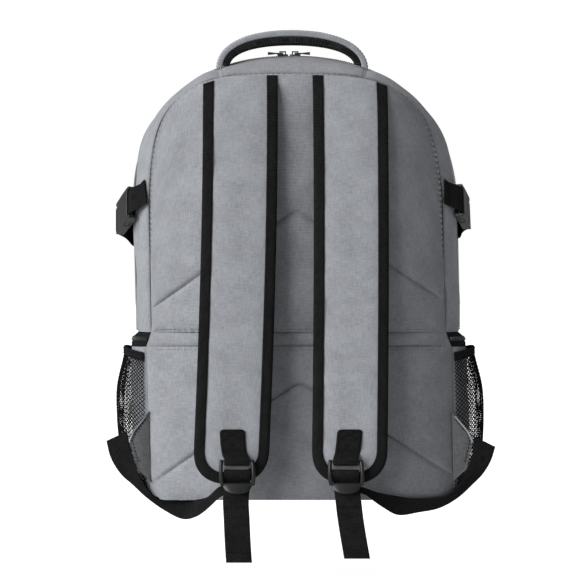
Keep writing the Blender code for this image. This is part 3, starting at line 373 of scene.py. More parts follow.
def weave_group():
    """Height of a weave: sine ribs along u and along v, whose product's sign picks which is on top."""
    tree, start, end = new_group("Plain weave", [
        ("Vector", "NodeSocketVector", (0.0, 0.0, 0.0)), ("Warp pitch", "NodeSocketFloat", 0.001),
        ("Weft pitch", "NodeSocketFloat", 0.001)], [("Height", "NodeSocketFloat")])
    parts = parts_of(tree, start.outputs["Vector"])
    waves = []
    for axis, pitch in (("X", "Warp pitch"), ("Y", "Weft pitch")):
        turns = math_node(tree, "DIVIDE", parts[axis], start.outputs[pitch])
        waves.append(math_node(tree, "SINE", math_node(tree, "MULTIPLY", turns, math.pi)))
    both = math_node(tree, "MULTIPLY", waves[0], waves[1])
    warp, weft = (math_node(tree, "ABSOLUTE", wave) for wave in waves)
    ribs = math_node(tree, "ADD", warp, weft)
    height = math_node(tree, "ADD", math_node(tree, "MULTIPLY", ribs, 0.35),
                       math_node(tree, "MULTIPLY", math_node(tree, "ABSOLUTE", both), 0.3))
    tree.links.new(height, end.inputs["Height"])
    return tree


def melange_group():
    """Share of light yarn: streaks along u plus streaks along v plus soft blotches."""
    tree, start, end = new_group("Yarn melange", [
        ("Vector", "NodeSocketVector", (0.0, 0.0, 0.0)), ("Streak size", "NodeSocketFloat", 0.0009),
        ("Blotch size", "NodeSocketFloat", 0.03)],
        [("Streaks", "NodeSocketFloat"), ("Blotches", "NodeSocketFloat")])
    sums = []
    for stretch in ((0.16, 1.0, 1.0), (1.0, 0.16, 1.0)):
        turn = tree.nodes.new("ShaderNodeVectorMath")
        turn.operation = "MULTIPLY"
        turn.inputs[1].default_value = stretch
        tree.links.new(start.outputs["Vector"], turn.inputs[0])
        noise = tree.nodes.new("ShaderNodeTexNoise")
        noise.inputs["Detail"].default_value = 2.0
        tree.links.new(turn.outputs[0], noise.inputs["Vector"])
        tree.links.new(math_node(tree, "DIVIDE", 1.0, start.outputs["Streak size"]), noise.inputs["Scale"])
        sums.append(noise.outputs["Fac"])
    streaks = math_node(tree, "MULTIPLY", math_node(tree, "ADD", sums[0], sums[1]), 0.5)
    blotch = tree.nodes.new("ShaderNodeTexNoise")
    blotch.inputs["Detail"].default_value = 3.0
    tree.links.new(start.outputs["Vector"], blotch.inputs["Vector"])
    tree.links.new(math_node(tree, "DIVIDE", 1.0, start.outputs["Blotch size"]), blotch.inputs["Scale"])
    tree.links.new(streaks, end.inputs["Streaks"])
    tree.links.new(blotch.outputs["Fac"], end.inputs["Blotches"])
    return tree


WEAVE, MELANGE = weave_group(), melange_group()


def group_node(tree, group, vector, **values):
    """Place a group in a material, feed it its pattern space, and set its named inputs."""
    node = tree.nodes.new("ShaderNodeGroup")
    node.node_tree = group
    tree.links.new(vector, node.inputs["Vector"])
    for label, value in values.items():
        node.inputs[label.replace("_", " ")].default_value = value
    return node


def ramp(tree, mask, stops):
    """A colour ramp over a mask, from a list of position and linear colour."""
    node = tree.nodes.new("ShaderNodeValToRGB")
    elements = node.color_ramp.elements
    while len(elements) < len(stops):
        elements.new(0.5)
    for element, (place, colour) in zip(elements, stops):
        element.position = place
        element.color = (*colour, 1.0)
    tree.links.new(mask, node.inputs["Fac"])
    return node.outputs["Color"]


def grey(value, blue=1.03):
    """A neutral colour with a slight cool cast."""
    return (value, value * (0.68 + 0.32 * blue), value * blue)


def cloth_finish(name, dark, light, pitch, weft=None, bump=0.35, depth=0.0003, roughness=0.9, sheen=0.15,
                 streak=0.0011, blotch=0.022, blotch_share=0.30, gloss=0.25, bulge=0.0, seam=0.0):
    """Woven cloth: melange colour between two yarns, with painted shade in the weave's gaps, and weave bump.
    A bulge adds the slow curve of a full bag across x to the normals: height -bulge / 2 * x ^ 2.
    A seam paints shade on the first edge of the UV: painted shade of the seam's recess, darkening the colour
    by its share of e ^ (-SEAM_SHADE_FALL * distance)."""
    tree, shader = start_finish(name)
    shader.inputs["Roughness"].default_value = roughness
    shader.inputs["Sheen Weight"].default_value = sheen
    shader.inputs["Sheen Roughness"].default_value = 0.6
    shader.inputs["Specular IOR Level"].default_value = gloss
    uv = tree.nodes.new("ShaderNodeTexCoord").outputs["UV"]
    weave = group_node(tree, WEAVE, uv, Warp_pitch=pitch, Weft_pitch=weft or pitch)
    yarn = group_node(tree, MELANGE, uv, Streak_size=streak, Blotch_size=blotch)
    # The weave's height in the mask darkens its low places: painted shade between the yarns.
    mask = math_node(tree, "ADD", math_node(tree, "MULTIPLY", yarn.outputs["Streaks"], 0.75),
                     math_node(tree, "MULTIPLY", weave.outputs["Height"], 0.3))
    mask = math_node(tree, "ADD", mask, math_node(tree, "MULTIPLY", yarn.outputs["Blotches"], blotch_share))
    colour = ramp(tree, mask, [(0.52, dark), (0.86, light)])
    # Painted shade: the shadow in the seam's recess, darkest at v = 0 and fading with distance.
    if seam:
        fall = math_node(tree, "MULTIPLY", parts_of(tree, uv)["Y"], -SEAM_SHADE_FALL)
        close = math_node(tree, "MULTIPLY", math_node(tree, "EXPONENT", fall), seam)
        seam_shade_node = tree.nodes.new("ShaderNodeVectorMath")
        seam_shade_node.operation = "SCALE"
        tree.links.new(colour, seam_shade_node.inputs[0])
        tree.links.new(math_node(tree, "SUBTRACT", 1.0, close), seam_shade_node.inputs["Scale"])
        colour = seam_shade_node.outputs[0]
    tree.links.new(colour, shader.inputs["Base Color"])
    lift = bump_node(tree, weave.outputs["Height"], bump, depth)
    if bulge:
        place = parts_of(tree, tree.nodes.new("ShaderNodeTexCoord").outputs["Object"])
        off = math_node(tree, "ADD", place["X"], BULGE_SHIFT)
        height = math_node(tree, "MULTIPLY", math_node(tree, "MULTIPLY", off, off), -0.5 * bulge)
        slow = bump_node(tree, height, 1.0, 1.0)
        tree.links.new(slow.outputs["Normal"], lift.inputs["Normal"])
    tree.links.new(lift.outputs["Normal"], shader.inputs["Normal"])


BULGE_SHIFT, PANEL_BULGE, SEAM_SHADE_FALL = 0.010, 6.0, 600.0
GREY_YARNS = grey(0.182, 1.115), grey(0.332, 1.105)
DARK_CLOTH = {"sheen": 0.0, "gloss": 0.08}
RIBBED = {**DARK_CLOTH, "bump": 0.7, "depth": 0.0005}
cloth_finish("heather", *GREY_YARNS, 0.0011)
# Gussets and cooler walls: heather with painted shade along the back seam.
cloth_finish("heather_gusset_seam_shade", *GREY_YARNS, 0.0011, seam=0.8)
cloth_finish("heather_panel", *GREY_YARNS, 0.0011, bulge=PANEL_BULGE)
cloth_finish("heather_strap", grey(0.190, 1.115), grey(0.332, 1.105), 0.0012, bump=0.5, blotch_share=0.36)
cloth_finish("heather_trim", grey(0.215, 1.11), grey(0.345, 1.10), 0.0013, bump=0.45)
# Wing cloth: the heather darkened as painted shade.
cloth_finish("heather_wing_shaded", grey(0.055, 1.09), grey(0.120, 1.09), 0.0013, bump=0.45)
cloth_finish("black_cloth", grey(0.010), grey(0.022), 0.0010, **DARK_CLOTH)
cloth_finish("binding", grey(0.0035), grey(0.0165), 0.0011, weft=0.0032, **RIBBED)
cloth_finish("webbing", grey(0.0040), grey(0.0165), 0.0018, weft=0.0014, **RIBBED)
cloth_finish("zip_tape", grey(0.006), grey(0.014), 0.0012, **DARK_CLOTH)
cloth_finish("net", grey(0.006), grey(0.016), 0.0006, **DARK_CLOTH)
cloth_finish("air_mesh", grey(0.002), grey(0.036), 0.0030, bump=1.0, depth=0.0014, sheen=0.0, gloss=0.15)
cloth_finish("grey_thread", grey(0.15), grey(0.24), 0.0005)
cloth_finish("black_thread", grey(0.008), grey(0.020), 0.0005, **DARK_CLOTH)
print("finishes so far:", len(finishes))

# %% [markdown]
# Moulded plastic and coated metal are smooth, so their finish is mostly in the gloss: fine noise in
# the roughness and a faint grain, on Object coordinates because these pieces have no UV map.
# %% Plastic and metal


def hard_finish(name, dark, light, roughness, metallic=0.0, grain=0.12):
    """Moulded or coated surface: colour and roughness drift with noise, with a fine grain bump."""
    tree, shader = start_finish(name)
    shader.inputs["Metallic"].default_value = metallic
    place = tree.nodes.new("ShaderNodeTexCoord").outputs["Object"]
    yarn = group_node(tree, MELANGE, place, Streak_size=0.0012, Blotch_size=0.012)
    colour = ramp(tree, yarn.outputs["Blotches"], [(0.3, dark), (0.7, light)])
    tree.links.new(colour, shader.inputs["Base Color"])
    shine = math_node(tree, "ADD", math_node(tree, "MULTIPLY", yarn.outputs["Streaks"], 0.2), roughness - 0.1)
    tree.links.new(shine, shader.inputs["Roughness"])
    lift = bump_node(tree, yarn.outputs["Streaks"], grain, 0.0002)
    tree.links.new(lift.outputs["Normal"], shader.inputs["Normal"])


hard_finish("plastic", grey(0.005), grey(0.010), 0.38)
hard_finish("metal", grey(0.10), grey(0.18), 0.32, metallic=0.85)
hard_finish("coil", grey(0.010), grey(0.020), 0.38)
print("all finishes:", sorted(finishes))

# %% [markdown]
# ## The body's walls
# On the real bag one long strip of grey cloth runs round the arch between the back seam and the
# zip, and another between the zip and the front seam. The arch is a superellipse on straight sides;
# its width, height and squareness change with depth. A fine grid over that formula is pulled in at
# the seams, where the stitches draw the foam down, and gets soft creases.
# %% The body's sections
SECTIONS = np.array((
    (0.00, 0.889, 0.951, 0.553, 3.60, 0.884, 0.046), (0.04, 0.918, 0.962, 0.575, 3.15, 0.925, 0.058),
    (0.12, 0.957, 0.978, 0.610, 2.75, 0.965, 0.074), (0.28, 0.990, 0.993, 0.640, 2.42, 0.992, 0.084),
    (0.50, 1.000, 1.000, 0.652, 2.28, 1.000, 0.089), (0.58, 1.000, 0.999, 0.650, 2.28, 1.000, 0.089),
    (0.75, 0.985, 0.985, 0.638, 2.45, 0.990, 0.084), (0.90, 0.940, 0.958, 0.610, 2.75, 0.950, 0.074),
    (1.00, 0.880, 0.930, 0.570, 3.20, 0.885, 0.062)))


def section(depth):
    """Half width, crown, spring, power, lower half width and corner radius at shares of the depth."""
    row = flow(depth, SECTIONS[:, 0], SECTIONS[:, 1:])
    scale = np.array([UPPER_WIDTH / 2, BODY_HEIGHT, BODY_HEIGHT, 1.0, LOWER_WIDTH / 2, LOWER_WIDTH])
    return np.moveaxis(row * scale, -1, 0)


def depth_at(height):
    """Depth of the body: full up to the waist, then less by a power of the way to the crown."""
    share = np.clip((np.asarray(height) - WAIST_TOP) / (BODY_HEIGHT - WAIST_TOP), 0.0, 1.0)
    return LOWER_DEPTH + (TOP_DEPTH - LOWER_DEPTH) * share ** DEPTH_POWER


def arch_height(depth, across):
    """Spring plus rise times (1 - |x / half| ^ power) ^ (1 / power)."""
    half, crown, spring, power = section(depth)[:4]
    share = np.clip(np.abs(across) / half, 0.0, 1.0)
    return spring + (crown - spring) * (1.0 - share ** power) ** (1.0 / power)


def arch_line(depth, count):
    """The arch at one depth as even x, z points: up the left side, over and down the right."""
    half, crown, spring, power = (float(v) for v in section(depth)[:4])
    turn = np.linspace(0.0, math.pi, 900)
    across = -half * np.sign(np.cos(turn)) * np.abs(np.cos(turn)) ** (2.0 / power)
    height = spring + (crown - spring) * np.sin(turn) ** (2.0 / power)
    side = np.linspace(WAIST_TOP, spring, 60)[:-1]
    line = np.vstack([np.column_stack([np.full(59, -half), side]), np.column_stack([across, height]),
                      np.column_stack([np.full(59, half), side[::-1]])])
    return evenly(line, count)


def cup_line(depth, count):
    """The lower U at one depth: down the left side, round both corners and up the right side."""
    _, _, _, _, half, radius = (float(v) for v in section(depth))
    turn = np.linspace(0.0, math.pi / 2.0, 80)
    corner = np.column_stack([half - radius + radius * np.cos(turn), radius - radius * np.sin(turn)])
    right = np.vstack([[[half, WAIST_BOTTOM]], corner])
    line = np.vstack([right * (-1.0, 1.0), right[::-1]])
    return evenly(line, count)


def wall(line_at, start, end, rows, count, first=0.0, last=1.0):
    """Grid of a stretch of wall: one row of the ring's line at each depth, cut to a share of it."""
    grid = []
    for depth in np.linspace(start, end, rows):
        line = line_at(depth, 600)[int(first * 599):int(math.ceil(last * 599)) + 1]
        line = evenly(line, count)
        grid.append(np.column_stack([line[:, 0], depth * depth_at(line[:, 1]), line[:, 1]]))
    return np.array(grid)


print("crown height at mid depth in mm:", round(float(arch_height(0.5, 0.0)) * 1000, 1))

# %% [markdown]
# A gusset is drawn in at its seams and puckers beside them. The shade in the back seam is painted into
# the gussets' own finish as a fine dark line along that edge.
# %% Gussets above the waist
SEAM_DRAW, SEAM_REACH, SEAM_PUCKER = 0.0016, 0.007, 0.00016
BACK_SEAM_SHARE = 0.35


def dressed(grid, seed, crease, size, sides=(1, 1, 1, 1)):
    """Outer and inner grid of a cloth wall: pulled in at its seams (top, bottom, left and right by
    the shares in sides) by SEAM_DRAW times e ^ (-distance / SEAM_REACH); creases fade out there."""
    out = facing_out(grid, keep=(0.0, 1.0, 1.0))
    uv = metres(grid).reshape(*grid.shape[:2], 2)
    u, v = uv[..., 0], uv[..., 1]
    near = np.zeros(u.shape)
    for share, gap in zip(sides, (v, v.max() - v, u, u.max() - u)):
        near = np.maximum(near, share * np.exp(-gap / SEAM_REACH))
    pucker = SEAM_PUCKER * creases(u, v, 0.016, seed + 50) * near ** 0.6
    lift = crease * creases(u, v, size, seed) * (1.0 - near) - SEAM_DRAW * near + pucker
    outer = grid + out * lift[..., None]
    return outer, outer - out * CLOTH, out


seam_share = {}
line = arch_line(0.3, 600)
seam_share["left"] = float(np.searchsorted(line[:, 0], -HANDLE_SPAN / 2.0)) / 599.0
seam_share["right"] = 1.0 - seam_share["left"]
stretches = (("gusset_side_left", "side_gusset_left", 0.0, seam_share["left"], 150),
             ("gusset_top", "top_gusset", seam_share["left"], seam_share["right"], 80),
             ("gusset_side_right", "side_gusset_right", seam_share["right"], 1.0, 150))
gusset_faces = {}
for index, (name, node, first, last, count) in enumerate(stretches):
    grid = wall(arch_line, 0.0, ZIP_START, 70, count, first, last)
    outer, inner, out = dressed(grid, 11 + index, 0.0015, 0.060, sides=(BACK_SEAM_SHARE, 1, 1, 1))
    gusset_faces[name] = (outer, out)
    slab(name, outer, inner, "heather_gusset_seam_shade", "heather_fabric", (node,))
grid = wall(arch_line, ZIP_END, 1.0, 60, 380)
outer, inner, _ = dressed(grid, 21, 0.0011, 0.08)
slab("gusset_front", outer, inner, "heather", "heather_fabric", ("front_gusset",))
print("gusset strips:", len(gusset_faces))

# %% [markdown]
# The cooler compartment's sides turn round the lower corners; its underside is a darker cloth.
# %% Sides and underside of the cooler compartment
line = cup_line(0.5, 600)
corner_share = float(np.argmax(line[:, 1] < 1e-4)) / 599.0
for index, (name, node, first, last) in enumerate((
        ("cooler_wall_left", "cooler_side_left", 0.0, corner_share),
        ("cooler_wall_right", "cooler_side_right", 1.0 - corner_share, 1.0))):
    grid = wall(cup_line, 0.0, 1.0, 110, 110, first, last)
    outer, inner, _ = dressed(grid, 31 + index, 0.0007, 0.07)
    # The walls' finish paints shade along the back seam.
    slab(name, outer, inner, "heather_gusset_seam_shade", "heather_fabric", (node,))
grid = wall(cup_line, 0.0, 1.0, 90, 120, corner_share, 1.0 - corner_share)
outer, inner, _ = dressed(grid, 35, 0.0006, 0.05)
slab("underside", outer, inner, "black_cloth", "black_fabric", ("bottom_panel",))

# %% [markdown]
# ## Padded panels
# The back panel is foam between two cloths, held down by its edge seam and by one seam folded in a
# chevron. The height of the padding over any point depends on how far that point is from the
# nearest seam, so the distance to the outline and to the fold is worked out for the whole grid.
# %% Panel shape


def panel_grid(curve_line, straight, rows, count):
    """Columns from the straight waist seam to the curved seam; rows are even shares of the way."""
    low, high = np.minimum(curve_line[:, 1], straight), np.maximum(curve_line[:, 1], straight)
    share = (0.5 - 0.5 * np.cos(np.linspace(0.0, math.pi, rows)))[:, None]
    share = 0.35 * share + 0.65 * np.linspace(0.0, 1.0, rows)[:, None]
    height = low + (high - low) * share
    return np.broadcast_to(curve_line[:, 0], height.shape), height


def distance_to(x, z, line):
    """Distance of each x, z point to the nearest of a line's points."""
    points = np.stack([x, z], axis=-1)[..., None, :]
    return np.sqrt(np.min(np.sum((points - line) ** 2, axis=-1), axis=-1))


def inset_line(line, inset):
    """A line of x, z points moved into the bag by a distance along its normals."""
    run = unit(np.gradient(line, axis=0))
    return line + np.column_stack([run[:, 1], -run[:, 0]]) * inset


FOAM_REACH, THREAD_REACH, FOLD_REACH, PANEL_FILL = 0.0065, 0.0015, 0.010, 0.55


def fold_line(apex, x):
    """Height of the chevron fold: the apex less slope times the distance across, with a small round
    at the apex and a slight tilt up to the right."""
    return apex - FOLD_SLOPE * (np.sqrt(x ** 2 + FOLD_ROUND ** 2) - FOLD_ROUND) + FOLD_TILT * x


def panel(name, node, curve_line, straight, depth_share, facing, rise, fold_apex, seed, fold=1.0):
    """A padded panel: padding rises with distance from its seams as 1 - e ^ (-distance / FOAM_REACH)
    and drops by the sum of two falls on the chevron fold: a sharp one at the thread, a wide one
    where the foam is drawn down."""
    x, z = panel_grid(curve_line, straight, 190 if facing < 0 else 110, len(curve_line))
    side = np.linspace(straight, curve_line[0, 1], 60)
    foot = np.column_stack([curve_line[::3, 0], np.full(len(curve_line[::3]), straight)])
    ends = [np.column_stack([np.full(60, edge), side]) for edge in curve_line[[0, -1], 0]]
    rim = np.vstack([curve_line[::2], foot, *ends])
    far = distance_to(x, z, rim)
    pad = 1.0 - np.exp(-far / FOAM_REACH)
    half = np.abs(curve_line[:, 0]).max()
    crest = fold_line(fold_apex, x)
    off = (z - crest) * math.cos(math.atan(FOLD_SLOPE))
    edge_fade = np.clip((half - np.abs(x)) / 0.004, 0.0, 1.0)
    groove = 0.70 * np.exp(-np.abs(off) / THREAD_REACH) + 0.20 * np.exp(-np.abs(off - 0.002) / FOLD_REACH)
    groove *= fold * edge_fade
    swell = 0.72 + 0.28 * np.cos(np.clip(np.abs(x) / half, 0, 1) * math.pi / 2.0)
    crease = 0.00075 * creases(x, z, 0.07, seed) + 0.00035 * creases(x, z, 0.03, seed + 1, stretch=2.5)
    pucker = 0.00018 * creases(x, z, 0.012, seed + 2) * np.exp(-far / 0.007)
    lift = rise * pad * swell * (1.0 - groove) + crease * pad + pucker - 0.0004
    seat = depth_share * depth_at(z)
    outer = np.stack([x, seat + facing * lift, z], axis=-1)
    inner = np.stack([x, seat - facing * PAD_EDGE, z], axis=-1)
    piece = slab(name, outer, inner, "heather_panel" if facing < 0 else "heather", "heather_fabric", (node,))
    print(name, "rises to mm:", round(float(lift.max()) * 1000, 1))
    return outer


panel_faces = {}
for depth_share, facing, rise, side, fold in ((0.0, -1, PAD_RISE, "back", 1.0),
                                              (1.0, 1, FRONT_RISE, "front", 0.0)):
    whole = arch_line(depth_share, 1400)
    arch = inset_line(whole, CLOTH * 0.25)[whole[:, 1] > WAIST_TOP + 0.07]
    whole = cup_line(depth_share, 1400)
    cup = whole[whole[:, 1] < WAIST_BOTTOM - 0.10]
    for part, curve, straight, apex, seed in (("upper", arch, WAIST_TOP, UPPER_FOLD_APEX, 41),
                                              ("lower", cup, WAIST_BOTTOM, LOWER_FOLD_APEX, 45)):
        curve = evenly(curve, 210)
        curve[:, 0] = np.sort(curve[:, 0])
        panel_faces[f"{side}_{part}"] = panel(f"{side}_pad_{part}", f"{side}_panel_{part}", curve, straight,
                                              depth_share, facing, rise, apex, seed, fold)

# %% [markdown]
# Between the compartments a flat grey band closes the back, with a tuck at each of its seams.
# %% Waist band
half_top, half_low = float(section(0.0)[0]), float(section(0.0)[4])
shares = np.linspace(-1.0, 1.0, 170)[None, :]
up = np.linspace(0.0, 1.0, 26)[:, None]
half = half_low + (half_top - half_low) * up
x = half * shares
z = WAIST_BOTTOM + (WAIST_TOP - WAIST_BOTTOM) * up + 0.0 * x
far = np.minimum(up, 1.0 - up) * (WAIST_TOP - WAIST_BOTTOM)
lift = 0.0030 * (1.0 - np.exp(-far / 0.0022)) + 0.0007 * creases(x, z, 0.035, 52) - 0.0008
band_face = np.stack([x, -lift * (1.0 - np.abs(shares) ** 8), z], axis=-1)
back = np.stack([x, PAD_EDGE + 0.0 * x, z], axis=-1)
slab("waist_band", band_face, back, "heather_panel", "heather_fabric", ("back_band",))

# %% [markdown]
# ## Shoulder straps
# Each strap is a pad of foam in grey cloth whose edge is wrapped in ribbed black binding. Its face is
# a function of two parameters: across runs from edge to edge, down runs from the top seam to the
# rounded end. Standing off the panel grows down the strap, as the slack strap hangs forward.
# %% Strap sizes and faces
STRAP_WIDTH, STRAP_THICKNESS, STRAP_BINDING, STRAP_ROUND = 0.073, 0.011, 0.0105, 0.034
STRAP_END, STRAP_STANDOFF, STRAP_POWER, STRAP_DRIFT_POWER = 0.0185, 0.0240, 2.4, 1.5
STRAP_TOP_X = {"left": -0.0512, "right": 0.0560}
STRAP_END_X = {"left": -0.0695, "right": 0.0455}
STRAP_TOP = float(section(0.0)[1]) - CLOTH - GAP
STRAP_RUN = np.array((
    (0.00, 0.00, 0.00, 0.32), (0.01, 0.14, 0.00, 0.36), (0.035, 0.74, 0.02, 0.60), (0.08, 1.00, 0.12, 0.82),
    (0.16, 1.00, 0.20, 0.92), (0.30, 1.00, 0.36, 0.96), (0.50, 1.00, 0.60, 1.00), (0.72, 1.00, 0.84, 1.00),
    (0.90, 1.00, 1.00, 1.00), (1.00, 1.00, 1.03, 0.90)))


def strap_centre(name, height):
    """Middle of a strap: from its top place to its end place by a power of the share of the way."""
    share = np.clip((STRAP_TOP - height) / (STRAP_TOP - STRAP_END), 0.0, 1.0)
    return STRAP_TOP_X[name] + (STRAP_END_X[name] - STRAP_TOP_X[name]) * share ** STRAP_DRIFT_POWER


def strap_faces(across, height):
    """Depth of a strap's inner and outer face: pad clearance plus stand-off plus thickness."""
    top = arch_height(0.0, across) - CLOTH - GAP
    share = np.clip((top - np.asarray(height)) / (top - STRAP_END), 0.0, 1.0)
    pad, stand, thick = np.moveaxis(flow(share, STRAP_RUN[:, 0], STRAP_RUN[:, 1:]), -1, 0)
    inner = -(GAP + PAD_RISE * np.clip(pad, 0.0, 1.0) + STRAP_STANDOFF * np.clip(stand, 0.0, 1.1))
    return inner, inner - STRAP_THICKNESS * thick


def strap_outline(name, inset, count):
    """Even points down a strap's left edge, round its superellipse end and up its right edge."""
    half, turn = STRAP_WIDTH / 2.0 - inset, STRAP_ROUND - inset
    angle = np.linspace(0.0, math.pi, 300)
    lateral = -np.sign(np.cos(angle)) * np.abs(np.cos(angle)) ** (2.0 / STRAP_POWER)
    low = STRAP_END + inset + turn * (1.0 - np.sin(angle) ** (2.0 / STRAP_POWER))
    sides = []
    for edge in (-1.0, 1.0):
        start = float(arch_height(0.0, strap_centre(name, STRAP_TOP) + edge * half)) - CLOTH - GAP
        run = np.linspace(start, low[0], 300)[:-1]
        sides.append(np.column_stack([strap_centre(name, run) + edge * half, run]))
    end = np.column_stack([strap_centre(name, low) + lateral * half, low])
    return evenly(np.vstack([sides[0], end, sides[1][::-1]]), count)


# %% [markdown]
# A strap's face is one grid from the top seam to the rounded end. Its foam puffs up away from the
# rim, and long soft wrinkles run along it, so that light catches the slack cloth.
# %% Padded strap faces
STRAP_FILL, STRAP_FOAM_REACH = 0.7, 0.0075
BINDING_PROFILE = ((0.00, 0.02), (0.22, 0.00), (0.55, 0.01), (0.80, 0.05), (0.93, 0.13), (1.00, 0.30),
                   (1.00, 0.70), (0.93, 0.87), (0.80, 0.95), (0.55, 0.99), (0.22, 1.00), (0.00, 0.98))
for index, name in enumerate(SIDES):
    under = STRAP_BINDING * 0.55
    rim = strap_outline(name, under, 1400)
    angle = np.linspace(0.0, math.pi, 64)
    half, turn = STRAP_WIDTH / 2.0 - under, STRAP_ROUND - under
    lateral = -np.sign(np.cos(angle)) * np.abs(np.cos(angle)) ** (2.0 / STRAP_POWER)
    low = STRAP_END + under + turn * (1.0 - np.sin(angle) ** (2.0 / STRAP_POWER))
    spread = lateral[None, :] * half
    top = arch_height(0.0, STRAP_TOP_X[name] + spread) - CLOTH - GAP
    down = np.linspace(0.0, 1.0, 330)[:, None]
    height = top + (low[None, :] - top) * down
    across = strap_centre(name, height) + spread
    inner, outer = strap_faces(across, height)
    far = distance_to(across, height, rim[::2])
    pad = 1.0 - np.exp(-far / STRAP_FOAM_REACH)
    wrinkle = (0.0010 * creases(across, height, 0.035, 61 + index, stretch=3.0)
               + 0.0005 * creases(across, height, 0.016, 65 + index, stretch=4.0))
    puff = (outer - inner) * (-0.05 - 0.09 * (1.0 - pad)) + 0.0012 * pad
    face = np.stack([across, outer + 0.0024 * (1.0 - pad) - puff * 0.4 + wrinkle * pad, height], axis=-1)
    back = np.stack([across, inner - 0.0014 * (1.0 - pad) + 0.0 * height, height], axis=-1)
    piece = slab(f"strap_pad_{name}", face, back, "heather_strap", "heather_fabric",
                 (f"shoulder_strap_{name}",))
    print(name, "strap length in mm:", round(float(lengths(face[:, 32]).max() * 1000)))

# %% [markdown]
# The binding is a band folded over the edge. Its profile is a short list of shares, from the front
# seam round the edge to the back seam, carried along the strap's outline; the ribs across it come
# from the weave's pitch along the UV map.
# %% Strap bindings and their seams
RIB_PITCH, RIB_RISE = 0.0034, 0.00025
for name in SIDES:
    edge, seam = strap_outline(name, 0.0, 420), strap_outline(name, STRAP_BINDING, 420)
    rings = []
    for out_share, face_share in BINDING_PROFILE:
        line = seam + (edge - seam) * out_share
        inner, outer = strap_faces(line[:, 0], line[:, 1])
        ripple = RIB_RISE * np.sin(lengths(line) * 2.0 * math.pi / RIB_PITCH) * (0.2 < out_share < 0.9)
        bulge = -0.0005 if face_share < 0.5 else 0.0002
        depth = outer + (inner - outer) * face_share + bulge + ripple
        rings.append(np.column_stack([line[:, 0], depth, line[:, 1]]))
    rings = np.stack(rings, axis=1)
    tube(f"edge_binding_{name}", rings, "binding", "black_webbing", (f"strap_binding_{name}",))
    line = strap_outline(name, STRAP_BINDING - 0.0016, 700)
    _, outer = strap_faces(line[:, 0], line[:, 1])
    thread = np.column_stack([line[:, 0], outer - 0.00045, line[:, 1]])
    stitches(f"binding_thread_{name}", [thread], [TOWARD_BACK], "black_thread", "black_webbing", pitch=0.0030)

# %% [markdown]
# ## Webbing
# Webbing is a flat band between two edge lines, thinner at its very edge. Its chosen points are the
# same as those of the solids, and a smooth line runs through them, so it bends like real webbing.
# %% Webbing paths
WEBBING, WEBBING_THICKNESS = 0.025, 0.0013
LOCK_SETIN = {"left": 0.0065, "right": 0.0035}
LOCK_HEIGHT, LOCK_STANDOFF, LOCK_BEND = 0.0300, 0.0059, 0.0025
LOCK_HALF, TAB_LENGTH = 0.0125, 0.027
TAIL_LENGTH = {"left": 0.074, "right": 0.070}
WING_TOP, WING_BOTTOM, WING_REACH, LOOP_DROP = 0.087, 0.018, 0.020, 0.019
LOCK_PATH = np.array((
    (-1.95, -6.2), (-1.86, -3.6), (-1.70, -1.9), (-1.15, -0.45), (-0.75, 0.75), (0.0, 1.02), (0.75, 0.72),
    (1.05, 0.0), (0.85, -0.95), (0.15, -2.0), (-0.70, -2.8), (-1.18, -3.6), (-1.20, -5.0)))
LOOPS = {
    "left": ((1.200, 0.004, -3.05, 1.010, -0.006, -3.55), (1.165, 0.006, -2.20, 0.975, -0.012, -2.70),
             (1.115, 0.010, -1.65, 0.948, -0.018, -2.05), (1.060, 0.008, -1.24, 0.918, -0.024, -1.50),
             (0.975, 0.008, -0.82, 0.872, -0.028, -0.95), (0.865, 0.010, -0.22, 0.790, -0.016, -0.30),
             (0.700, 0.005, 0.48, 0.600, 0.030, 0.01), (0.530, -0.045, 0.92, 0.430, 0.030, 0.01),
             (0.395, -0.110, 0.78, 0.295, -0.080, -0.18), (0.205, -0.200, -0.10, 0.110, -0.185, -0.90)),
    "right": ((1.165, 0.004, -2.75, 1.000, -0.006, -3.30), (1.130, 0.006, -2.05, 0.985, -0.012, -2.45),
              (1.065, 0.010, -1.35, 0.945, -0.018, -1.65), (0.975, 0.008, -0.75, 0.890, -0.026, -0.95),
              (0.860, 0.008, -0.08, 0.790, -0.034, -0.30), (0.720, 0.005, 0.42, 0.650, -0.036, -0.14),
              (0.560, -0.020, 0.62, 0.510, -0.042, -0.13), (0.400, -0.070, 0.72, 0.370, -0.064, -0.28),
              (0.275, -0.140, 0.25, 0.240, -0.115, -0.48), (0.165, -0.205, -0.35, 0.075, -0.190, -0.85)),
}
TAIL_RUN = {
    "left": ((0.12, -0.06, 0.06), (0.45, -0.06, 0.12), (0.93, -0.02, 0.06), (1.00, -0.01, 0.05)),
    "right": ((0.12, 0.04, 0.06), (0.42, 0.12, 0.16), (0.93, 0.32, 0.10), (1.00, 0.35, 0.08)),
}
TAIL_KINKS = {
    "left": ((0.42, 0.0012), (0.55, 0.0008)),
    "right": ((0.44, 0.0022), (0.60, -0.0010), (0.86, 0.0009)),
}
KINK_REACH = 0.035


def lock_place(name):
    """Centre of a ladder lock in front of the strap's end."""
    across = strap_centre(name, LOCK_HEIGHT) - SIDES[name] * LOCK_SETIN[name]
    return np.array([across, float(strap_faces(across, LOCK_HEIGHT)[1]) - LOCK_STANDOFF, LOCK_HEIGHT])


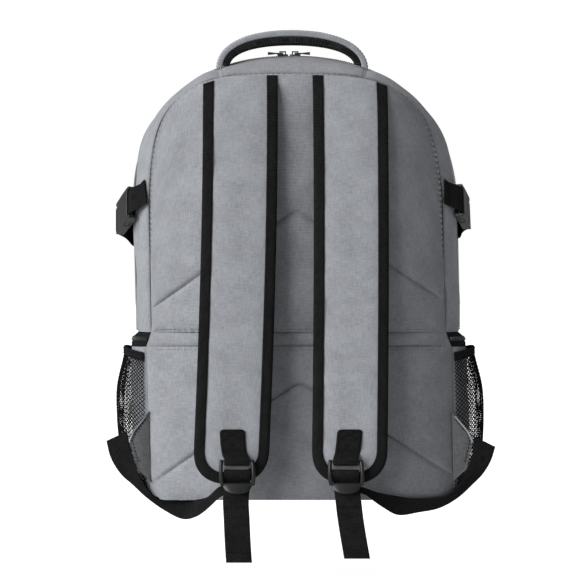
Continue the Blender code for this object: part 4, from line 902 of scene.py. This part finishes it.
for name, side in SIDES.items():
    place = lock_place(name)
    reach = side * (float(section(0.0)[4]) + WING_REACH) - place[0]
    rows = np.array(LOOPS[name])
    edges = []
    bends = LOCK_PATH * LOCK_BEND
    stations = [(0.0, place[1] - forward, place[2] + up) for forward, up in bends]
    for share, sway, swing in TAIL_RUN[name]:
        stations.append((sway * WEBBING, place[1] - bends[-1, 0] - swing * WEBBING,
                         place[2] + bends[-1, 1] - TAIL_LENGTH[name] * share))
    stations = np.array(stations) + (place[0], 0.0, 0.0)
    for columns, sign in ((rows[:, :3], 1.0), (rows[:, 3:], -1.0)):
        loop = np.column_stack([place[0] + reach * columns[:, 0], columns[:, 1] * LOWER_DEPTH,
                                -LOOP_DROP * columns[:, 2]])
        edges.append(np.vstack([loop, stations + (sign * side * WEBBING / 2.0, 0.0, 0.0)]))
    middle = (edges[0] + edges[1]) / 2.0
    run = lengths(middle)
    at = np.linspace(0.0, run[-1], 420)
    edges = [flow(at, run, edge) for edge in edges]
    drop = (place[2] - (edges[0] + edges[1])[:, 2] / 2.0) / TAIL_LENGTH[name]
    kink = sum(size * np.exp(-((drop - spot) / KINK_REACH) ** 2) for spot, size in TAIL_KINKS[name])
    kink = kink * (at > at[250])
    edges = [edge + TOWARD_BACK * kink[:, None] for edge in edges]
    rings = ribbon_rings(edges[1], edges[0], WEBBING_THICKNESS)
    tube(f"adjuster_{name}", rings, "webbing", "black_webbing", (f"adjusting_webbing_{name}",))
    hem = [edge[-14:] + (0.0, -WEBBING_THICKNESS * 0.8, 0.0) for edge in edges]
    rings = ribbon_rings(hem[1], hem[0], WEBBING_THICKNESS * 1.1)
    tube(f"tail_hem_{name}", rings, "webbing", "black_webbing")
    print(name, "webbing length in mm:", round(float(run[-1]) * 1000))

# %% [markdown]
# Above each ladder lock a short tab is sewn to the strap's face with a box of stitches, and its end
# turns round the lock's top rail.
# %% Tabs with box stitching
TAB_HOOK = np.array(((0.04, 1.18), (0.24, 1.08), (0.27, 0.86), (0.21, 0.66), (-0.06, 0.61), (-0.26, 0.69),
                     (-0.27, 0.88)))
TAB_CORNER = 0.0035
for name in SIDES:
    place = lock_place(name)
    foot = LOCK_HEIGHT + LOCK_HALF + CLOTH
    top = foot + TAB_LENGTH * np.array([1.0, 0.7, 0.35, 0.12])
    front = strap_faces(place[0], top)[1] - WEBBING_THICKNESS / 2.0 - 3.0 * GAP
    path = np.vstack([np.column_stack([front, top]), place[1:] + TAB_HOOK * (-LOCK_HALF, LOCK_HALF)])
    up = np.clip((path[:, 1] - foot) / TAB_LENGTH, 0.0, 1.0) ** 0.45
    centre = place[0] + (strap_centre(name, path[:, 1]) - place[0]) * up
    line = through(np.column_stack([centre, path]), 110)
    corner = np.clip(lengths(line) / TAB_CORNER, 0.0, 1.0)
    wide = (WEBBING / 2.0 - GAP) - TAB_CORNER * (1.0 - np.sqrt(1.0 - (1.0 - corner) ** 2))
    half = wide[:, None] * np.array([1.0, 0.0, 0.0])
    tube(f"sewn_tab_{name}", ribbon_rings(line - half, line + half, WEBBING_THICKNESS * 1.3), "webbing",
         "black_webbing", (f"strap_tab_{name}",))
    flat = line[line[:, 2] > foot]
    left, right = flat - half[:len(flat)] * 0.82, flat + half[:len(flat)] * 0.82
    third = len(flat) // 3
    rungs = [np.linspace(left[i], right[i], 20) for i in (2, third, 2 * len(flat) // 3, len(flat) - 3)]
    cross = [np.linspace(left[2], right[third], 20), np.linspace(right[2], left[third], 20)]
    rows = [line + (0.0, -WEBBING_THICKNESS * 0.75, 0.0) for line in (left, right, *rungs, *cross)]
    stitches(f"tab_thread_{name}", rows, [TOWARD_BACK] * len(rows), "black_thread", "black_webbing",
             pitch=0.0026, length=0.0019)

# %% [markdown]
# ## Wings
# A grey triangle caught in each back seam carries the webbing's sewn end. Its free edge is folded,
# so a pale roll of cloth runs down it. The triangle's grey is darker than the heather: painted shade.
# %% Wings
WING_EDGE = np.array(((0.0, 0.0), (0.04, 0.10), (0.29, 0.80), (0.42, 1.00), (0.82, 0.65), (0.96, 0.10),
                      (1.0, 0.0)))
for name, side in SIDES.items():
    root = float(section(0.0)[4])
    span = WING_TOP - WING_BOTTOM
    at = np.linspace(0.0, 1.0, 90)
    reach = WING_REACH * np.clip(np.interp(at, WING_EDGE[:, 0], WING_EDGE[:, 1]), 0.004, 1.0)
    z = (WING_TOP - span * at)[:, None]
    u = np.linspace(0.0, 1.0, 26)[None, :]
    x = side * (root - 0.001 + reach[:, None] * u)
    seat = -(CLOTH * 0.6 + GAP)
    belly = 0.0016 * np.sin(math.pi * u) * np.sin(math.pi * at[:, None]) + 0.0005 * creases(x, z, 0.02, 71)
    edge_roll = 0.0009 * np.exp(-((1.0 - u) * reach[:, None] / 0.0016) ** 2)
    y = seat - belly - edge_roll
    face = np.stack([x + 0 * z, y, z + 0 * x], axis=-1)
    back = np.stack([x + 0 * z, y + CLOTH * 0.9, z + 0 * x], axis=-1)
    slab(f"wing_{name}", face, back, "heather_wing_shaded", "heather_fabric", (f"strap_wing_{name}",))
    rim = face[:, -1] + (-side * 0.0032, -0.0004, 0.0)
    stitches(f"wing_thread_{name}", [rim[10:66]], [TOWARD_BACK], "black_thread", "heather_fabric")
    roll = evenly(face[6:40, -1] + (-side * 0.0006, -0.0004, 0.0), 60)
    turn = np.arange(8) * math.pi / 4.0
    around = np.stack([np.cos(turn), np.sin(turn), 0.3 * np.cos(turn)], axis=-1) * 0.0009
    tube(f"wing_piping_{name}", roll[:, None] + around[None], "heather_trim", "heather_fabric")

# %% [markdown]
# ## Zips
# A zip is two woven tapes and a row of teeth where they meet. The teeth are one small bead repeated
# along the zip's line, each laid across it, so the row shows as a ribbed line when seen from close by.
# %% Main zip round the upper arch
TOOTH_PITCH, TOOTH_LENGTH, TOOTH_RADIUS, TOOTH_RISE = 0.0019, 0.0044, 0.00085, 0.0004
TAPE_CROWN, TAPE_TUCK = 0.0006, 0.0009


def zip_parts(name, grid):
    """Tapes over a grid, raised towards the middle row and tucked in at both edges, and one tooth a
    pitch along the middle row, laid across it."""
    out, middle = facing_out(grid), len(grid) // 2
    off = np.abs(np.linspace(-1.0, 1.0, len(grid)))[:, None, None]
    tapes = grid + out * (TAPE_CROWN * (1.0 - off) - TAPE_TUCK * (off > 0.8))
    slab(f"{name}_tape", tapes, tapes - out * CLOTH * 0.6, "zip_tape", "zip_tape", (name,))
    base, shape = thread_shape(TOOTH_LENGTH, TOOTH_RADIUS)
    line = tapes[middle] + out[middle] * TAPE_CROWN / 2.0
    run = lengths(line)
    at = np.arange(TOOTH_PITCH, run[-1] - TOOTH_PITCH, TOOTH_PITCH)
    tangent = unit(sample(np.gradient(line, axis=0), run, at))
    outward = unit(sample(out[middle], run, at))
    axes = np.stack([unit(np.cross(outward, tangent)), tangent, outward], axis=1)
    points, quad = copies(base, shape, sample(line, run, at) + outward * TOOTH_RISE, axes)
    make_piece(f"{name}_teeth", world(points), quad.tolist(), "coil", "zip_tape")
    print(name, "teeth:", len(at))


zip_parts("main_zip", wall(arch_line, ZIP_START, ZIP_END, 13, 520))

# %% [markdown]
# The cooler's zip follows the body's outline seen from above, so its line is the half width at each
# depth, from the left seam round the front to the right seam.
# %% Cooler zip round the waist


def waist_outline(upper, height, count):
    """Outline from above at one height: half width over the depth, closed across the front."""
    share = np.linspace(0.0, 1.0, 300)
    half = section(share)[0 if upper else 4]
    depth = share * float(depth_at(height))
    bend = np.linspace(half[-1], -half[-1], 60)[1:-1]
    line = np.vstack([np.column_stack([-half, depth]), np.column_stack([-bend, np.full(58, depth[-1])]),
                      np.column_stack([half[::-1], depth[::-1]])])
    return evenly(line, count)


low_line, high_line = waist_outline(False, WAIST_BOTTOM, 560), waist_outline(True, WAIST_TOP, 560)
rows = []
for share in np.linspace(0.0, 1.0, 13):
    flat = low_line + (high_line - low_line) * share
    height = WAIST_BOTTOM + GAP + (WAIST_TOP - WAIST_BOTTOM - 2.0 * GAP) * share
    rows.append(np.column_stack([flat, np.full(560, height)]))
zip_parts("cooler_zip", np.array(rows))

# %% [markdown]
# ## Net pockets
# The net is real: two sets of slanting threads over the pocket's surface, which cross in small
# diamonds. The surface is the compartment's side pushed out by a bulge, with gathers under the
# elastic and one deeper fold beside the back seam, as the slack net in the photograph has.
# %% Pocket surface
POCKET_BULGE, POCKET_TOP, ELASTIC_WIDTH, ELASTIC_LIFT = 0.015, 0.144, 0.010, 0.0045
ELASTIC_BULGE = {"left": 0.0048, "right": 0.0056}
POCKET_DEPTHS = np.array(((0.012, 0.0), (0.04, 0.22), (0.12, 0.52), (0.21, 0.76), (0.31, 0.92), (0.42, 1.0),
                          (0.53, 0.98), (0.64, 0.88), (0.76, 0.60), (0.90, 0.0)))
POCKET_DROPS = np.array(((0.13, 0.50), (0.33, 0.88), (0.56, 1.0), (0.78, 0.88), (1.0, 0.62), (1.25, 0.38),
                         (1.50, 0.18), (1.75, 0.0)))
SEAM_GAP, ELASTIC_SHARE = (WAIST_BOTTOM - POCKET_TOP) / WAIST_BOTTOM, ELASTIC_WIDTH / WAIST_BOTTOM


def lower_side(depth, drop, out):
    """Point on the right side of the cooler compartment: down the straight, then round the corner
    past drop 1, moved outwards."""
    _, _, _, _, half, radius = section(depth)
    turn = np.clip(drop - 1.0, 0.0, 1.0) * math.pi / 2.0
    straight = WAIST_BOTTOM + (radius - WAIST_BOTTOM) * np.clip(drop, 0.0, 1.0)
    across = half - radius + radius * np.cos(turn) + np.cos(turn) * out
    height = np.where(drop > 1.0, radius - radius * np.sin(turn), straight) - np.sin(turn) * out
    return np.stack([across, depth * depth_at(height), height], axis=-1)


def pocket_point(name, depth, drop):
    """Net surface: bulge by depth times bulge by drop, with gathers and one fold."""
    drops = POCKET_DROPS.copy()
    drops[0] = SEAM_GAP + ELASTIC_SHARE, ELASTIC_BULGE[name] / POCKET_BULGE
    along = flow(depth, POCKET_DEPTHS[:, 0], POCKET_DEPTHS[:, 1])
    bulge = np.clip(along, 0.0, 1.0) * flow(drop, drops[:, 0], drops[:, 1])
    gather = 0.0007 * np.sin(depth * 95.0) * np.exp(-(drop - drops[0, 0]) / 0.22)
    fold = 0.0026 * np.exp(-((depth - 0.10 - 0.05 * drop) / 0.020) ** 2) * np.clip(1.6 - drop, 0.0, 1.0)
    sag = 0.0006 * np.sin(depth * 21.0 + drop * 5.0) * np.clip(along, 0.0, 1.0)
    out = 2.0 * GAP + POCKET_BULGE * bulge + (gather + sag) * np.clip(along * 3.0, 0.0, 1.0) + fold
    point = lower_side(depth, drop, np.maximum(out, 2.0 * GAP) + CLOTH / 4.0)
    point[..., 2] += ELASTIC_LIFT * np.clip(along, 0.0, 1.0) * np.exp(-(drop - drops[0, 0]) / 0.12)
    return point * (SIDES[name], 1.0, 1.0)


# %% [markdown]
# Each thread is a four-sided bar between two neighbouring crossings. One set of threads lies a
# little above the surface and the other a little below, so they pass each other at the crossings.
# %% Nets and elastic edges
POCKET_SPAN, THREAD_LIFT = (0.012, 0.90), 0.00012
NET_ACROSS, NET_DOWN, NET_THREAD = 0.0024, 0.0019, 0.00040
for name, side in SIDES.items():
    first, last = SEAM_GAP + ELASTIC_SHARE + 0.002, 1.75
    fine = pocket_point(name, *np.meshgrid(np.linspace(*POCKET_SPAN, 160), np.linspace(first, last, 160)))
    wide = float(lengths(fine[60]).max())
    tall = float(lengths(fine[:, 80]).max())
    cols, rows = int(wide / NET_ACROSS), int(tall / NET_DOWN)
    depths = np.interp(np.linspace(0.0, 1.0, cols), lengths(fine[60]) / wide, np.linspace(*POCKET_SPAN, 160))
    downs = np.interp(np.linspace(0.0, 1.0, rows), lengths(fine[:, 80]) / tall, np.linspace(first, last, 160))
    grid = pocket_point(name, *np.meshgrid(depths, downs))
    out = facing_out(grid, keep=(0.0, 1.0, 1.0))
    here, there, face = [], [], []
    for step in (1, -1):
        a = grid[:-1, :-1] if step > 0 else grid[:-1, 1:]
        b = grid[1:, 1:] if step > 0 else grid[1:, :-1]
        i, j = np.meshgrid(np.arange(rows - 1), np.arange(cols - 1), indexing="ij")
        keep = (i + j) % 2 == (0 if step > 0 else 1)
        off = out[:-1, :-1][keep]
        here.append(a[keep] + off * THREAD_LIFT * step)
        there.append(b[keep] + off * THREAD_LIFT * step)
        face.append(off)
    here, there, face = np.vstack(here), np.vstack(there), np.vstack(face)
    span = there - here
    sideways = unit(np.cross(face, span))
    turn = np.arange(4) * math.pi / 2.0 + math.pi / 4.0
    base = np.array([(end, math.cos(t) * 1.2, math.sin(t) * 0.8) for end in (-0.54, 0.54) for t in turn])
    shape = quads(2, 4, wrap=True)
    axes = np.stack([span, sideways * NET_THREAD, face * NET_THREAD], axis=1)
    points, quad = copies(base, shape, (here + there) / 2.0, axes)
    make_piece(f"pocket_net_{name}", world(points), quad.tolist(), "net", "black_net",
               (f"mesh_pocket_{name}",), smooth=False)
    print(name, "net threads:", len(span), "wide and tall in mm:", round(wide * 1000), round(tall * 1000))
    downs = np.linspace(SEAM_GAP, SEAM_GAP + ELASTIC_SHARE, 14)
    depth, down = np.meshgrid(np.linspace(*POCKET_SPAN, 240), downs)
    along = np.clip(flow(depth, POCKET_DEPTHS[:, 0], POCKET_DEPTHS[:, 1]), 0.0, 1.0)
    ruffle = 0.0005 * np.sin(depth * 190.0) * np.clip(along * 4.0, 0.0, 1.0)
    point = lower_side(depth, down, 2.0 * GAP + ELASTIC_BULGE[name] * along + ruffle)
    up = (SEAM_GAP + ELASTIC_SHARE - down) / ELASTIC_SHARE
    point[..., 2] += along * ((WAIST_BOTTOM - POCKET_TOP) * 0.8 * up + ELASTIC_LIFT * (1.0 - up))
    thick = CLOTH * 0.8 * (1.0 - 0.6 * np.abs(2.0 * up - 1.0) ** 6)
    inner = point * (side, 1.0, 1.0)
    outer = inner + (side, 0.0, 0.0) * thick[..., None]
    slab(f"elastic_edge_{name}", outer, inner, "binding", "black_webbing", (f"pocket_elastic_{name}",))
    stitches(f"elastic_thread_{name}", [outer[3], outer[11]], [np.array([side, 0.0, 0.0])] * 2,
             "black_thread", "black_webbing")

# %% [markdown]
# ## Side straps
# Each side has a short compression strap: webbing from the back seam to a side-release buckle, and
# slack webbing from there to the front seam. The webbing hangs in a curve, and never sinks into the
# body, so each of its edges is kept outside the body's own half width.
# %% Compression webbing
COMPRESSION_HEIGHT, COMPRESSION_FALL = 0.303, {"left": 0.048, "right": 0.038}
BUCKLE_SETBACK, BUCKLE_LENGTH, BUCKLE_STANDOFF = 0.017, 0.046, 0.0070
BUCKLE_FLARE, BUCKLE_BAR = {"left": 0.0150, "right": 0.0100}, 0.0022
STRAP_SAG = np.array(((0.00, 0.00), (0.11, 0.22), (0.41, 0.56), (0.50, 0.78), (0.58, 0.84), (0.75, 0.80),
                      (1.00, 0.60)))
BAR_HOOK = np.array(((-2.20, 0.80), (-0.60, 1.05), (0.50, 1.10), (1.35, 0.90), (1.80, 0.00), (1.35, -0.90),
                     (0.50, -1.10), (-1.20, -1.00)))


def side_reach(depth_share, height):
    """Half width of the upper body at a depth share and a height."""
    half, crown, spring, power = section(depth_share)[:4]
    share = np.clip((height - spring) / (crown - spring), 0.0, 1.0)
    return half * (1.0 - share ** power) ** (1.0 / power)


def side_point(side, depth_share, height, out):
    """A point beside the upper body, moved outwards."""
    across = side * (float(side_reach(depth_share, height)) + out)
    return np.array([across, depth_share * float(depth_at(height)), height])


def sag_height(name, depth_share):
    """Height of the slack strap at a depth share, from the sag table."""
    sag = float(np.interp(depth_share, STRAP_SAG[:, 0], STRAP_SAG[:, 1]))
    return COMPRESSION_HEIGHT - COMPRESSION_FALL[name] * sag


body_depth = float(depth_at(COMPRESSION_HEIGHT))
for name, side in SIDES.items():
    ends = [side_point(side, place / body_depth, sag_height(name, place / body_depth), out) for place, out in
            ((BUCKLE_SETBACK, BUCKLE_STANDOFF), (BUCKLE_SETBACK + BUCKLE_LENGTH, BUCKLE_FLARE[name]))]
    along = unit(ends[1] - ends[0])
    outward = unit(np.array([side, 0.0, 0.0]) - along * along[0] * side)
    upward = np.cross(along, outward) * side
    lift = WEBBING_THICKNESS / 2.0 + 3.0 * GAP
    front_start = (BUCKLE_SETBACK + BUCKLE_LENGTH) / body_depth
    back_rows = ((0.004, lift), (0.04, lift + 0.0012))
    front_rows = ((front_start + 0.06, BUCKLE_FLARE[name] * 0.65), (front_start + 0.16, 0.004),
                  (0.75, 2.0 * lift), (0.90, 2.5 * lift), (0.985, 1.5 * lift))
    hook = BAR_HOOK * BUCKLE_BAR
    lines = {
        "back": [side_point(side, s, sag_height(name, s), out) for s, out in back_rows]
                + [ends[0] + along * run + outward * out for run, out in hook],
        "front": [ends[1] - along * run + outward * out for run, out in hook[::-1]]
                 + [side_point(side, s, sag_height(name, s), out) for s, out in front_rows]}
    for kind, line in lines.items():
        line = np.array(line)
        run = lengths(line)
        fine = flow(np.linspace(0.0, run[-1], 180), run, line)
        edges = []
        for sign in (-1.0, 1.0):
            edge = fine + sign * upward * WEBBING / 2.0
            keep = side_reach(np.clip(edge[:, 1] / depth_at(edge[:, 2]), 0.0, 1.0), edge[:, 2]) + lift
            edge[:, 0] = side * np.maximum(np.abs(edge[:, 0]), keep)
            edges.append(edge)
        rings = ribbon_rings(*edges, WEBBING_THICKNESS)
        node = f"compression_{kind}_{name}"
        tube(f"side_webbing_{kind}_{name}", rings, "webbing", "black_webbing", (node,))
        print(name, kind, "webbing in mm:", round(float(run[-1]) * 1000))

# %% [markdown]
# ## Handle
# The handle is an arch of grey cloth over a soft black mesh lining. Across its width the thickness
# falls off towards both edges, so its section is a flat oval, and two rows of stitches run along its cover.
# %% Handle and its lining


def top_surface(across, depth):
    """Height of the bag's top at a place: a few rounds settle the depth share."""
    share = depth / TOP_DEPTH
    for _ in range(4):
        height = arch_height(share, across)
        share = depth / float(np.mean(depth_at(height)))
    return arch_height(share, across)


LINING_INSET, HANDLE_RIPPLE = 0.001, 0.028
angle = np.linspace(0.0, math.pi, 150)
start_depth = HANDLE_SETBACK - HANDLE_WIDTH / 2.0
level = float(top_surface(HANDLE_SPAN / 2.0, start_depth)) + 2.0 * GAP
for name, node, top, width, finish, slot in (
        ("handle_cover", "handle", 0.0, HANDLE_WIDTH, "heather_trim", "heather_fabric"),
        ("handle_lining", "handle_mesh", HANDLE_THICKNESS + GAP, HANDLE_WIDTH - 2.0 * LINING_INSET,
         "air_mesh", "black_net")):
    grids = []
    for inset in (top, top + HANDLE_THICKNESS):
        half, rise = HANDLE_SPAN / 2.0 - inset, HANDLE_RISE - inset
        x = -np.sign(np.cos(angle)) * np.abs(np.cos(angle)) ** (2.0 / HANDLE_POWER) * half
        lift = np.sin(angle) ** (2.0 / HANDLE_POWER) * rise
        fade = (np.clip(lift, 0.0, None) / rise) ** 0.5
        rows = []
        for share in 0.5 - 0.5 * np.cos(np.linspace(0.0, math.pi, 15)):
            depth = start_depth + (HANDLE_WIDTH - width) / 2.0 + width * share
            seat = top_surface(x, depth) + 2.0 * GAP
            height = seat * (1.0 - fade) + level * fade + lift
            rows.append(np.column_stack([x, np.full(x.size, depth), height]))
        grids.append(np.array(rows))
    middle = (grids[0] + grids[1]) / 2.0
    oval = (1.0 - 0.55 * np.abs(np.linspace(-1.0, 1.0, 15)) ** 5)[:, None, None]
    along, over = np.arange(150)[None, :] * 0.0015, np.arange(15)[:, None] * 0.002
    ripple = HANDLE_RIPPLE * creases(along, over, 0.02, 91)[..., None]
    outer, inner = middle + (grids[0] - middle) * (oval + ripple), middle + (grids[1] - middle) * oval
    slab(name, outer, inner, finish, slot, (node,), step=1)
    if node == "handle":
        out = normals(outer)
        out = out if out[7, 75, 2] > 0 else -out
        stitches("handle_thread", [outer[4], outer[10]], [out[4], out[10]], "grey_thread", "heather_fabric")

# %% [markdown]
# ## Hard pieces
# The buckles, sliders and pulls are the frame's own solids. Three modifiers soften their moulded
# edges: one merges the loose triangles, one clears flat faces of extra edges, and a bevel rounds
# what is left.
# %% Moulded and metal pieces
HARD_KINDS = {"buckle_socket": ("plastic", 0.0007), "buckle_plug": ("plastic", 0.0007),
              "zip_slider": ("metal", 0.0003), "zip_pull": ("metal", 0.0003)}
hard = {f"{kind}_{name}": look for kind, look in HARD_KINDS.items() for name in SIDES}
hard["cooler_zip_slider"] = ("metal", 0.0004)
for name, (finish, radius) in hard.items():
    node = nodes[name]
    node.data.materials.clear()
    node.data.materials.append(finishes[finish])
    weld = node.modifiers.new("weld", "WELD")
    weld.merge_threshold = 0.00002
    flatten = node.modifiers.new("flatten", "DECIMATE")
    flatten.decimate_type, flatten.angle_limit = "DISSOLVE", math.radians(2.0)
    bevel = node.modifiers.new("soft_edges", "BEVEL")
    bevel.width, bevel.segments, bevel.limit_method = radius, 3, "ANGLE"
    bevel.angle_limit, bevel.use_clamp_overlap, bevel.harden_normals = math.radians(32.0), True, True
print("hard pieces:", len(hard))

# %% [markdown]
# The ladder locks have curled sides and a round tongue, so they are built anew: two bowed side bars
# and three cross bars, each a superellipse carried along a short path, and a tongue that curls
# forward. All of them are joined into one mesh, because the real lock is one moulding.
# %% Ladder locks
LOCK_SIDE, LOCK_WINDOW, LOCK_RAIL, LOCK_LIP, LOCK_CURL = 0.0045, 0.0095, 0.0030, 0.0075, 0.0045


def bar(path, wide, deep, width_axis, power=2.6):
    """A closed bar: a superellipse of half sizes wide and deep at each point of the path."""
    turn = np.linspace(0.0, 2.0 * math.pi, 14, endpoint=False)
    a = np.sign(np.cos(turn)) * np.abs(np.cos(turn)) ** (2.0 / power)
    b = np.sign(np.sin(turn)) * np.abs(np.sin(turn)) ** (2.0 / power)
    wide, deep = np.broadcast_to(wide, len(path)), np.broadcast_to(deep, len(path))
    ends = np.sqrt(1.0 - np.abs(np.linspace(-1.0, 1.0, len(path))) ** 12 * 0.6)
    rings = (path[:, None] + np.outer(wide * ends, a)[..., None] * np.array(width_axis)
             + np.outer(deep * ends, b)[..., None] * np.array([0.0, 1.0, 0.0]))
    return rings.reshape(-1, 3), tube_faces(len(path), len(turn))


for name in SIDES:
    half, reach = WEBBING / 2.0 + LOCK_SIDE, LOCK_WINDOW + LOCK_RAIL
    parts = []
    across = up = np.linspace(-1.0, 1.0, 24)
    bow = 1.0 - up ** 2
    for side in (-1.0, 1.0):
        path = np.column_stack([side * (half - 0.0023 + 0.0009 * bow), -0.0012 * bow, up * reach])
        parts.append(bar(path, 0.0020, 0.0022 + 0.0011 * bow, (1.0, 0.0, 0.0)))
    for level, low, deep in ((reach - 0.0014, 0.0014, 0.0021), (0.0, 0.0011, 0.0014),
                             (-reach + 0.0012, 0.0016, 0.0020)):
        path = np.column_stack([across * (half - 0.0024), np.zeros(24), np.full(24, level)])
        parts.append(bar(path, low, deep, (0.0, 0.0, 1.0)))
    down, over = np.linspace(0.0, 1.0, 22)[:, None], np.linspace(-1.0, 1.0, 25)[None, :]
    width = (half - 0.0022) * (1.0 - 0.30 * down ** 1.2) * (1.0 - down ** 5) ** 0.45
    x = width * over
    z = -reach + 0.0022 - (LOCK_LIP + 0.0022) * down + 0.0 * over
    y = -0.0004 - LOCK_CURL * 0.85 * down ** 1.7 - 0.0006 * (1.0 - over ** 2)
    thick = 0.0026 * (1.0 - 0.7 * np.maximum(np.abs(over), down) ** 6)
    grids = [np.stack([x, y - thick / 2.0, z], axis=-1), np.stack([x, y + thick / 2.0, z], axis=-1)]
    count = down.size * over.size
    ids = np.arange(count).reshape(down.size, over.size)
    ring = np.concatenate([ids[0], ids[1:, -1], ids[-1, -2::-1], ids[-2:0:-1, 0]])
    nxt = np.roll(ring, -1)
    front = quads(*ids.shape)
    rim = np.stack([ring, ring + count, nxt + count, nxt], axis=-1)
    faces = np.vstack([front, front[:, ::-1] + count, rim])
    parts.append((np.vstack([grid.reshape(-1, 3) for grid in grids]), faces.tolist()))
    points, faces, start = [], [], 0
    for part, shape in parts:
        points.append(part)
        faces += [[corner + start for corner in face] for face in shape]
        start += len(part)
    points = world(np.vstack(points) + lock_place(name))
    make_piece(f"lock_frame_{name}", points, faces, "plastic", "black_plastic", (f"ladder_lock_{name}",))

# %% [markdown]
# ## Seam stitches
# Rows of thread follow the fold in each back panel, the edges of the waist band and the seams of
# the gussets. A row is found by picking, for each place across, the surface point nearest a height.
# %% Stitches on the back
FOLD_SPAN, BAND_SPAN, FINE_THREAD = 0.141, 0.140, 0.00024


def on_face(face, x, z):
    """Nearest grid point of a panel's face to each x, z place, column first and then row."""
    col = np.rint(np.interp(x, face[0, :, 0], np.arange(face.shape[1]))).astype(int)
    row = np.abs(face[:, col, 2] - z).argmin(axis=0)
    point = face[row, col].copy()
    point[:, 0], point[:, 2] = x, z
    return point


x = np.linspace(-FOLD_SPAN, FOLD_SPAN, 420)
rows = []
for key, apex in (("back_upper", UPPER_FOLD_APEX), ("back_lower", LOWER_FOLD_APEX)):
    crest = fold_line(apex, x)
    low = panel_faces[key][:, :, 2].min() + 0.004
    keep = crest > low
    rows.append(on_face(panel_faces[key], x[keep], crest[keep]))
x = np.linspace(-BAND_SPAN, BAND_SPAN, 420)
rows.append(on_face(panel_faces["back_upper"], x, np.full(420, WAIST_TOP + 0.0028)))
rows.append(on_face(panel_faces["back_lower"], x, np.full(420, WAIST_BOTTOM - 0.0028)))
stitches("panel_thread", rows, [TOWARD_BACK] * len(rows), "grey_thread", "heather_fabric", radius=FINE_THREAD)
rows, outs = [], []
for key in ("gusset_side_left", "gusset_side_right", "gusset_top"):
    outer, out = gusset_faces[key]
    rows.append(outer[-4])
    outs.append(out[-4])
outer, out = gusset_faces["gusset_top"]
for col in (2, -3):
    rows.append(outer[:, col])
    outs.append(out[:, col])
stitches("gusset_thread", rows, outs, "grey_thread", "heather_fabric", radius=FINE_THREAD)

# %% [markdown]
# ## Light, floor and camera
# The photograph is lit softly from the left and a little from above, on white. A wide sun gives that
# one-sided light with soft shadow edges; a pale world fills the rest. The camera stands level with
# the middle of the frame, far enough away for the small perspective that the photograph shows.
# %% Studio
KEY_DIRECTION = (-0.77, -0.60, 0.34)
KEY_STRENGTH, KEY_SPREAD = 4.15, 55.0
FILL_STRENGTH = 0.24
FLOOR_HEIGHT, FLOOR_REACH, FLOOR_GLOW = -0.535, 60.0, 0.80
PIXEL, FRAME_PIXELS, FRAME_CENTRE_HEIGHT, VIEW_DISTANCE = 0.00098, 585, 0.2034, 2.5
SENSOR = 36.0

sun = bpy.data.lights.new("key_light", "SUN")
sun.energy, sun.angle = KEY_STRENGTH, math.radians(KEY_SPREAD)
lamp = bpy.data.objects.new("key_light", sun)
toward = np.array(KEY_DIRECTION) / np.linalg.norm(KEY_DIRECTION)
lamp.rotation_euler = (math.acos(toward[2]), 0.0, math.atan2(toward[1], toward[0]) + math.pi / 2.0)
bpy.context.collection.objects.link(lamp)

studio = bpy.data.worlds.new("studio")
bpy.context.scene.world = studio
studio.use_nodes = True
tree = studio.node_tree
seen, fill, choose = (tree.nodes.new(kind) for kind in
                      ("ShaderNodeBackground", "ShaderNodeBackground", "ShaderNodeMixShader"))
for node, colour, strength in ((seen, (1.0, 1.0, 1.0), 1.0), (fill, (0.96, 0.98, 1.0), FILL_STRENGTH)):
    node.inputs["Color"].default_value = (*colour, 1.0)
    node.inputs["Strength"].default_value = strength
ray = tree.nodes.new("ShaderNodeLightPath")
tree.links.new(ray.outputs["Is Camera Ray"], choose.inputs[0])
tree.links.new(fill.outputs[0], choose.inputs[1])
tree.links.new(seen.outputs[0], choose.inputs[2])
tree.links.new(choose.outputs[0], tree.nodes["World Output"].inputs["Surface"])

floor_mesh = bpy.data.meshes.new("floor")
corners = [(-FLOOR_REACH, -FLOOR_REACH), (FLOOR_REACH, -FLOOR_REACH), (FLOOR_REACH, FLOOR_REACH),
           (-FLOOR_REACH, FLOOR_REACH)]
floor_mesh.from_pydata([(x, y, FLOOR_HEIGHT) for x, y in corners], [], [(0, 1, 2, 3)])
floor = bpy.data.objects.new("floor", floor_mesh)
bpy.context.collection.objects.link(floor)
pale = bpy.data.materials.new("pale_floor")
pale.use_nodes = True
floor_look = pale.node_tree.nodes["Principled BSDF"].inputs
floor_look["Base Color"].default_value = (0.80, 0.80, 0.80, 1.0)
floor_look["Roughness"].default_value = 0.95
floor_look["Emission Color"].default_value = (1.0, 1.0, 1.0, 1.0)
seen_floor = pale.node_tree.nodes.new("ShaderNodeLightPath")
glow = math_node(pale.node_tree, "MULTIPLY", seen_floor.outputs["Is Camera Ray"], FLOOR_GLOW)
pale.node_tree.links.new(glow, floor_look["Emission Strength"])
floor_mesh.materials.append(pale)
floor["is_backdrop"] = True

camera = bpy.data.cameras.new("camera")
camera.sensor_width = SENSOR
camera.lens = SENSOR * VIEW_DISTANCE / (PIXEL * FRAME_PIXELS)
camera.clip_end = 100.0
viewer = bpy.data.objects.new("camera", camera)
viewer.location = (0.0008, -HANDLE_SETBACK - VIEW_DISTANCE, FRAME_CENTRE_HEIGHT - HANG_HEIGHT)
viewer.rotation_euler = (math.pi / 2.0, 0.0, 0.0)
bpy.context.collection.objects.link(viewer)
scene = bpy.context.scene
scene.camera = viewer
scene.view_settings.view_transform = "Standard"
print("lens in mm:", round(camera.lens, 1))

low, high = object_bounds()
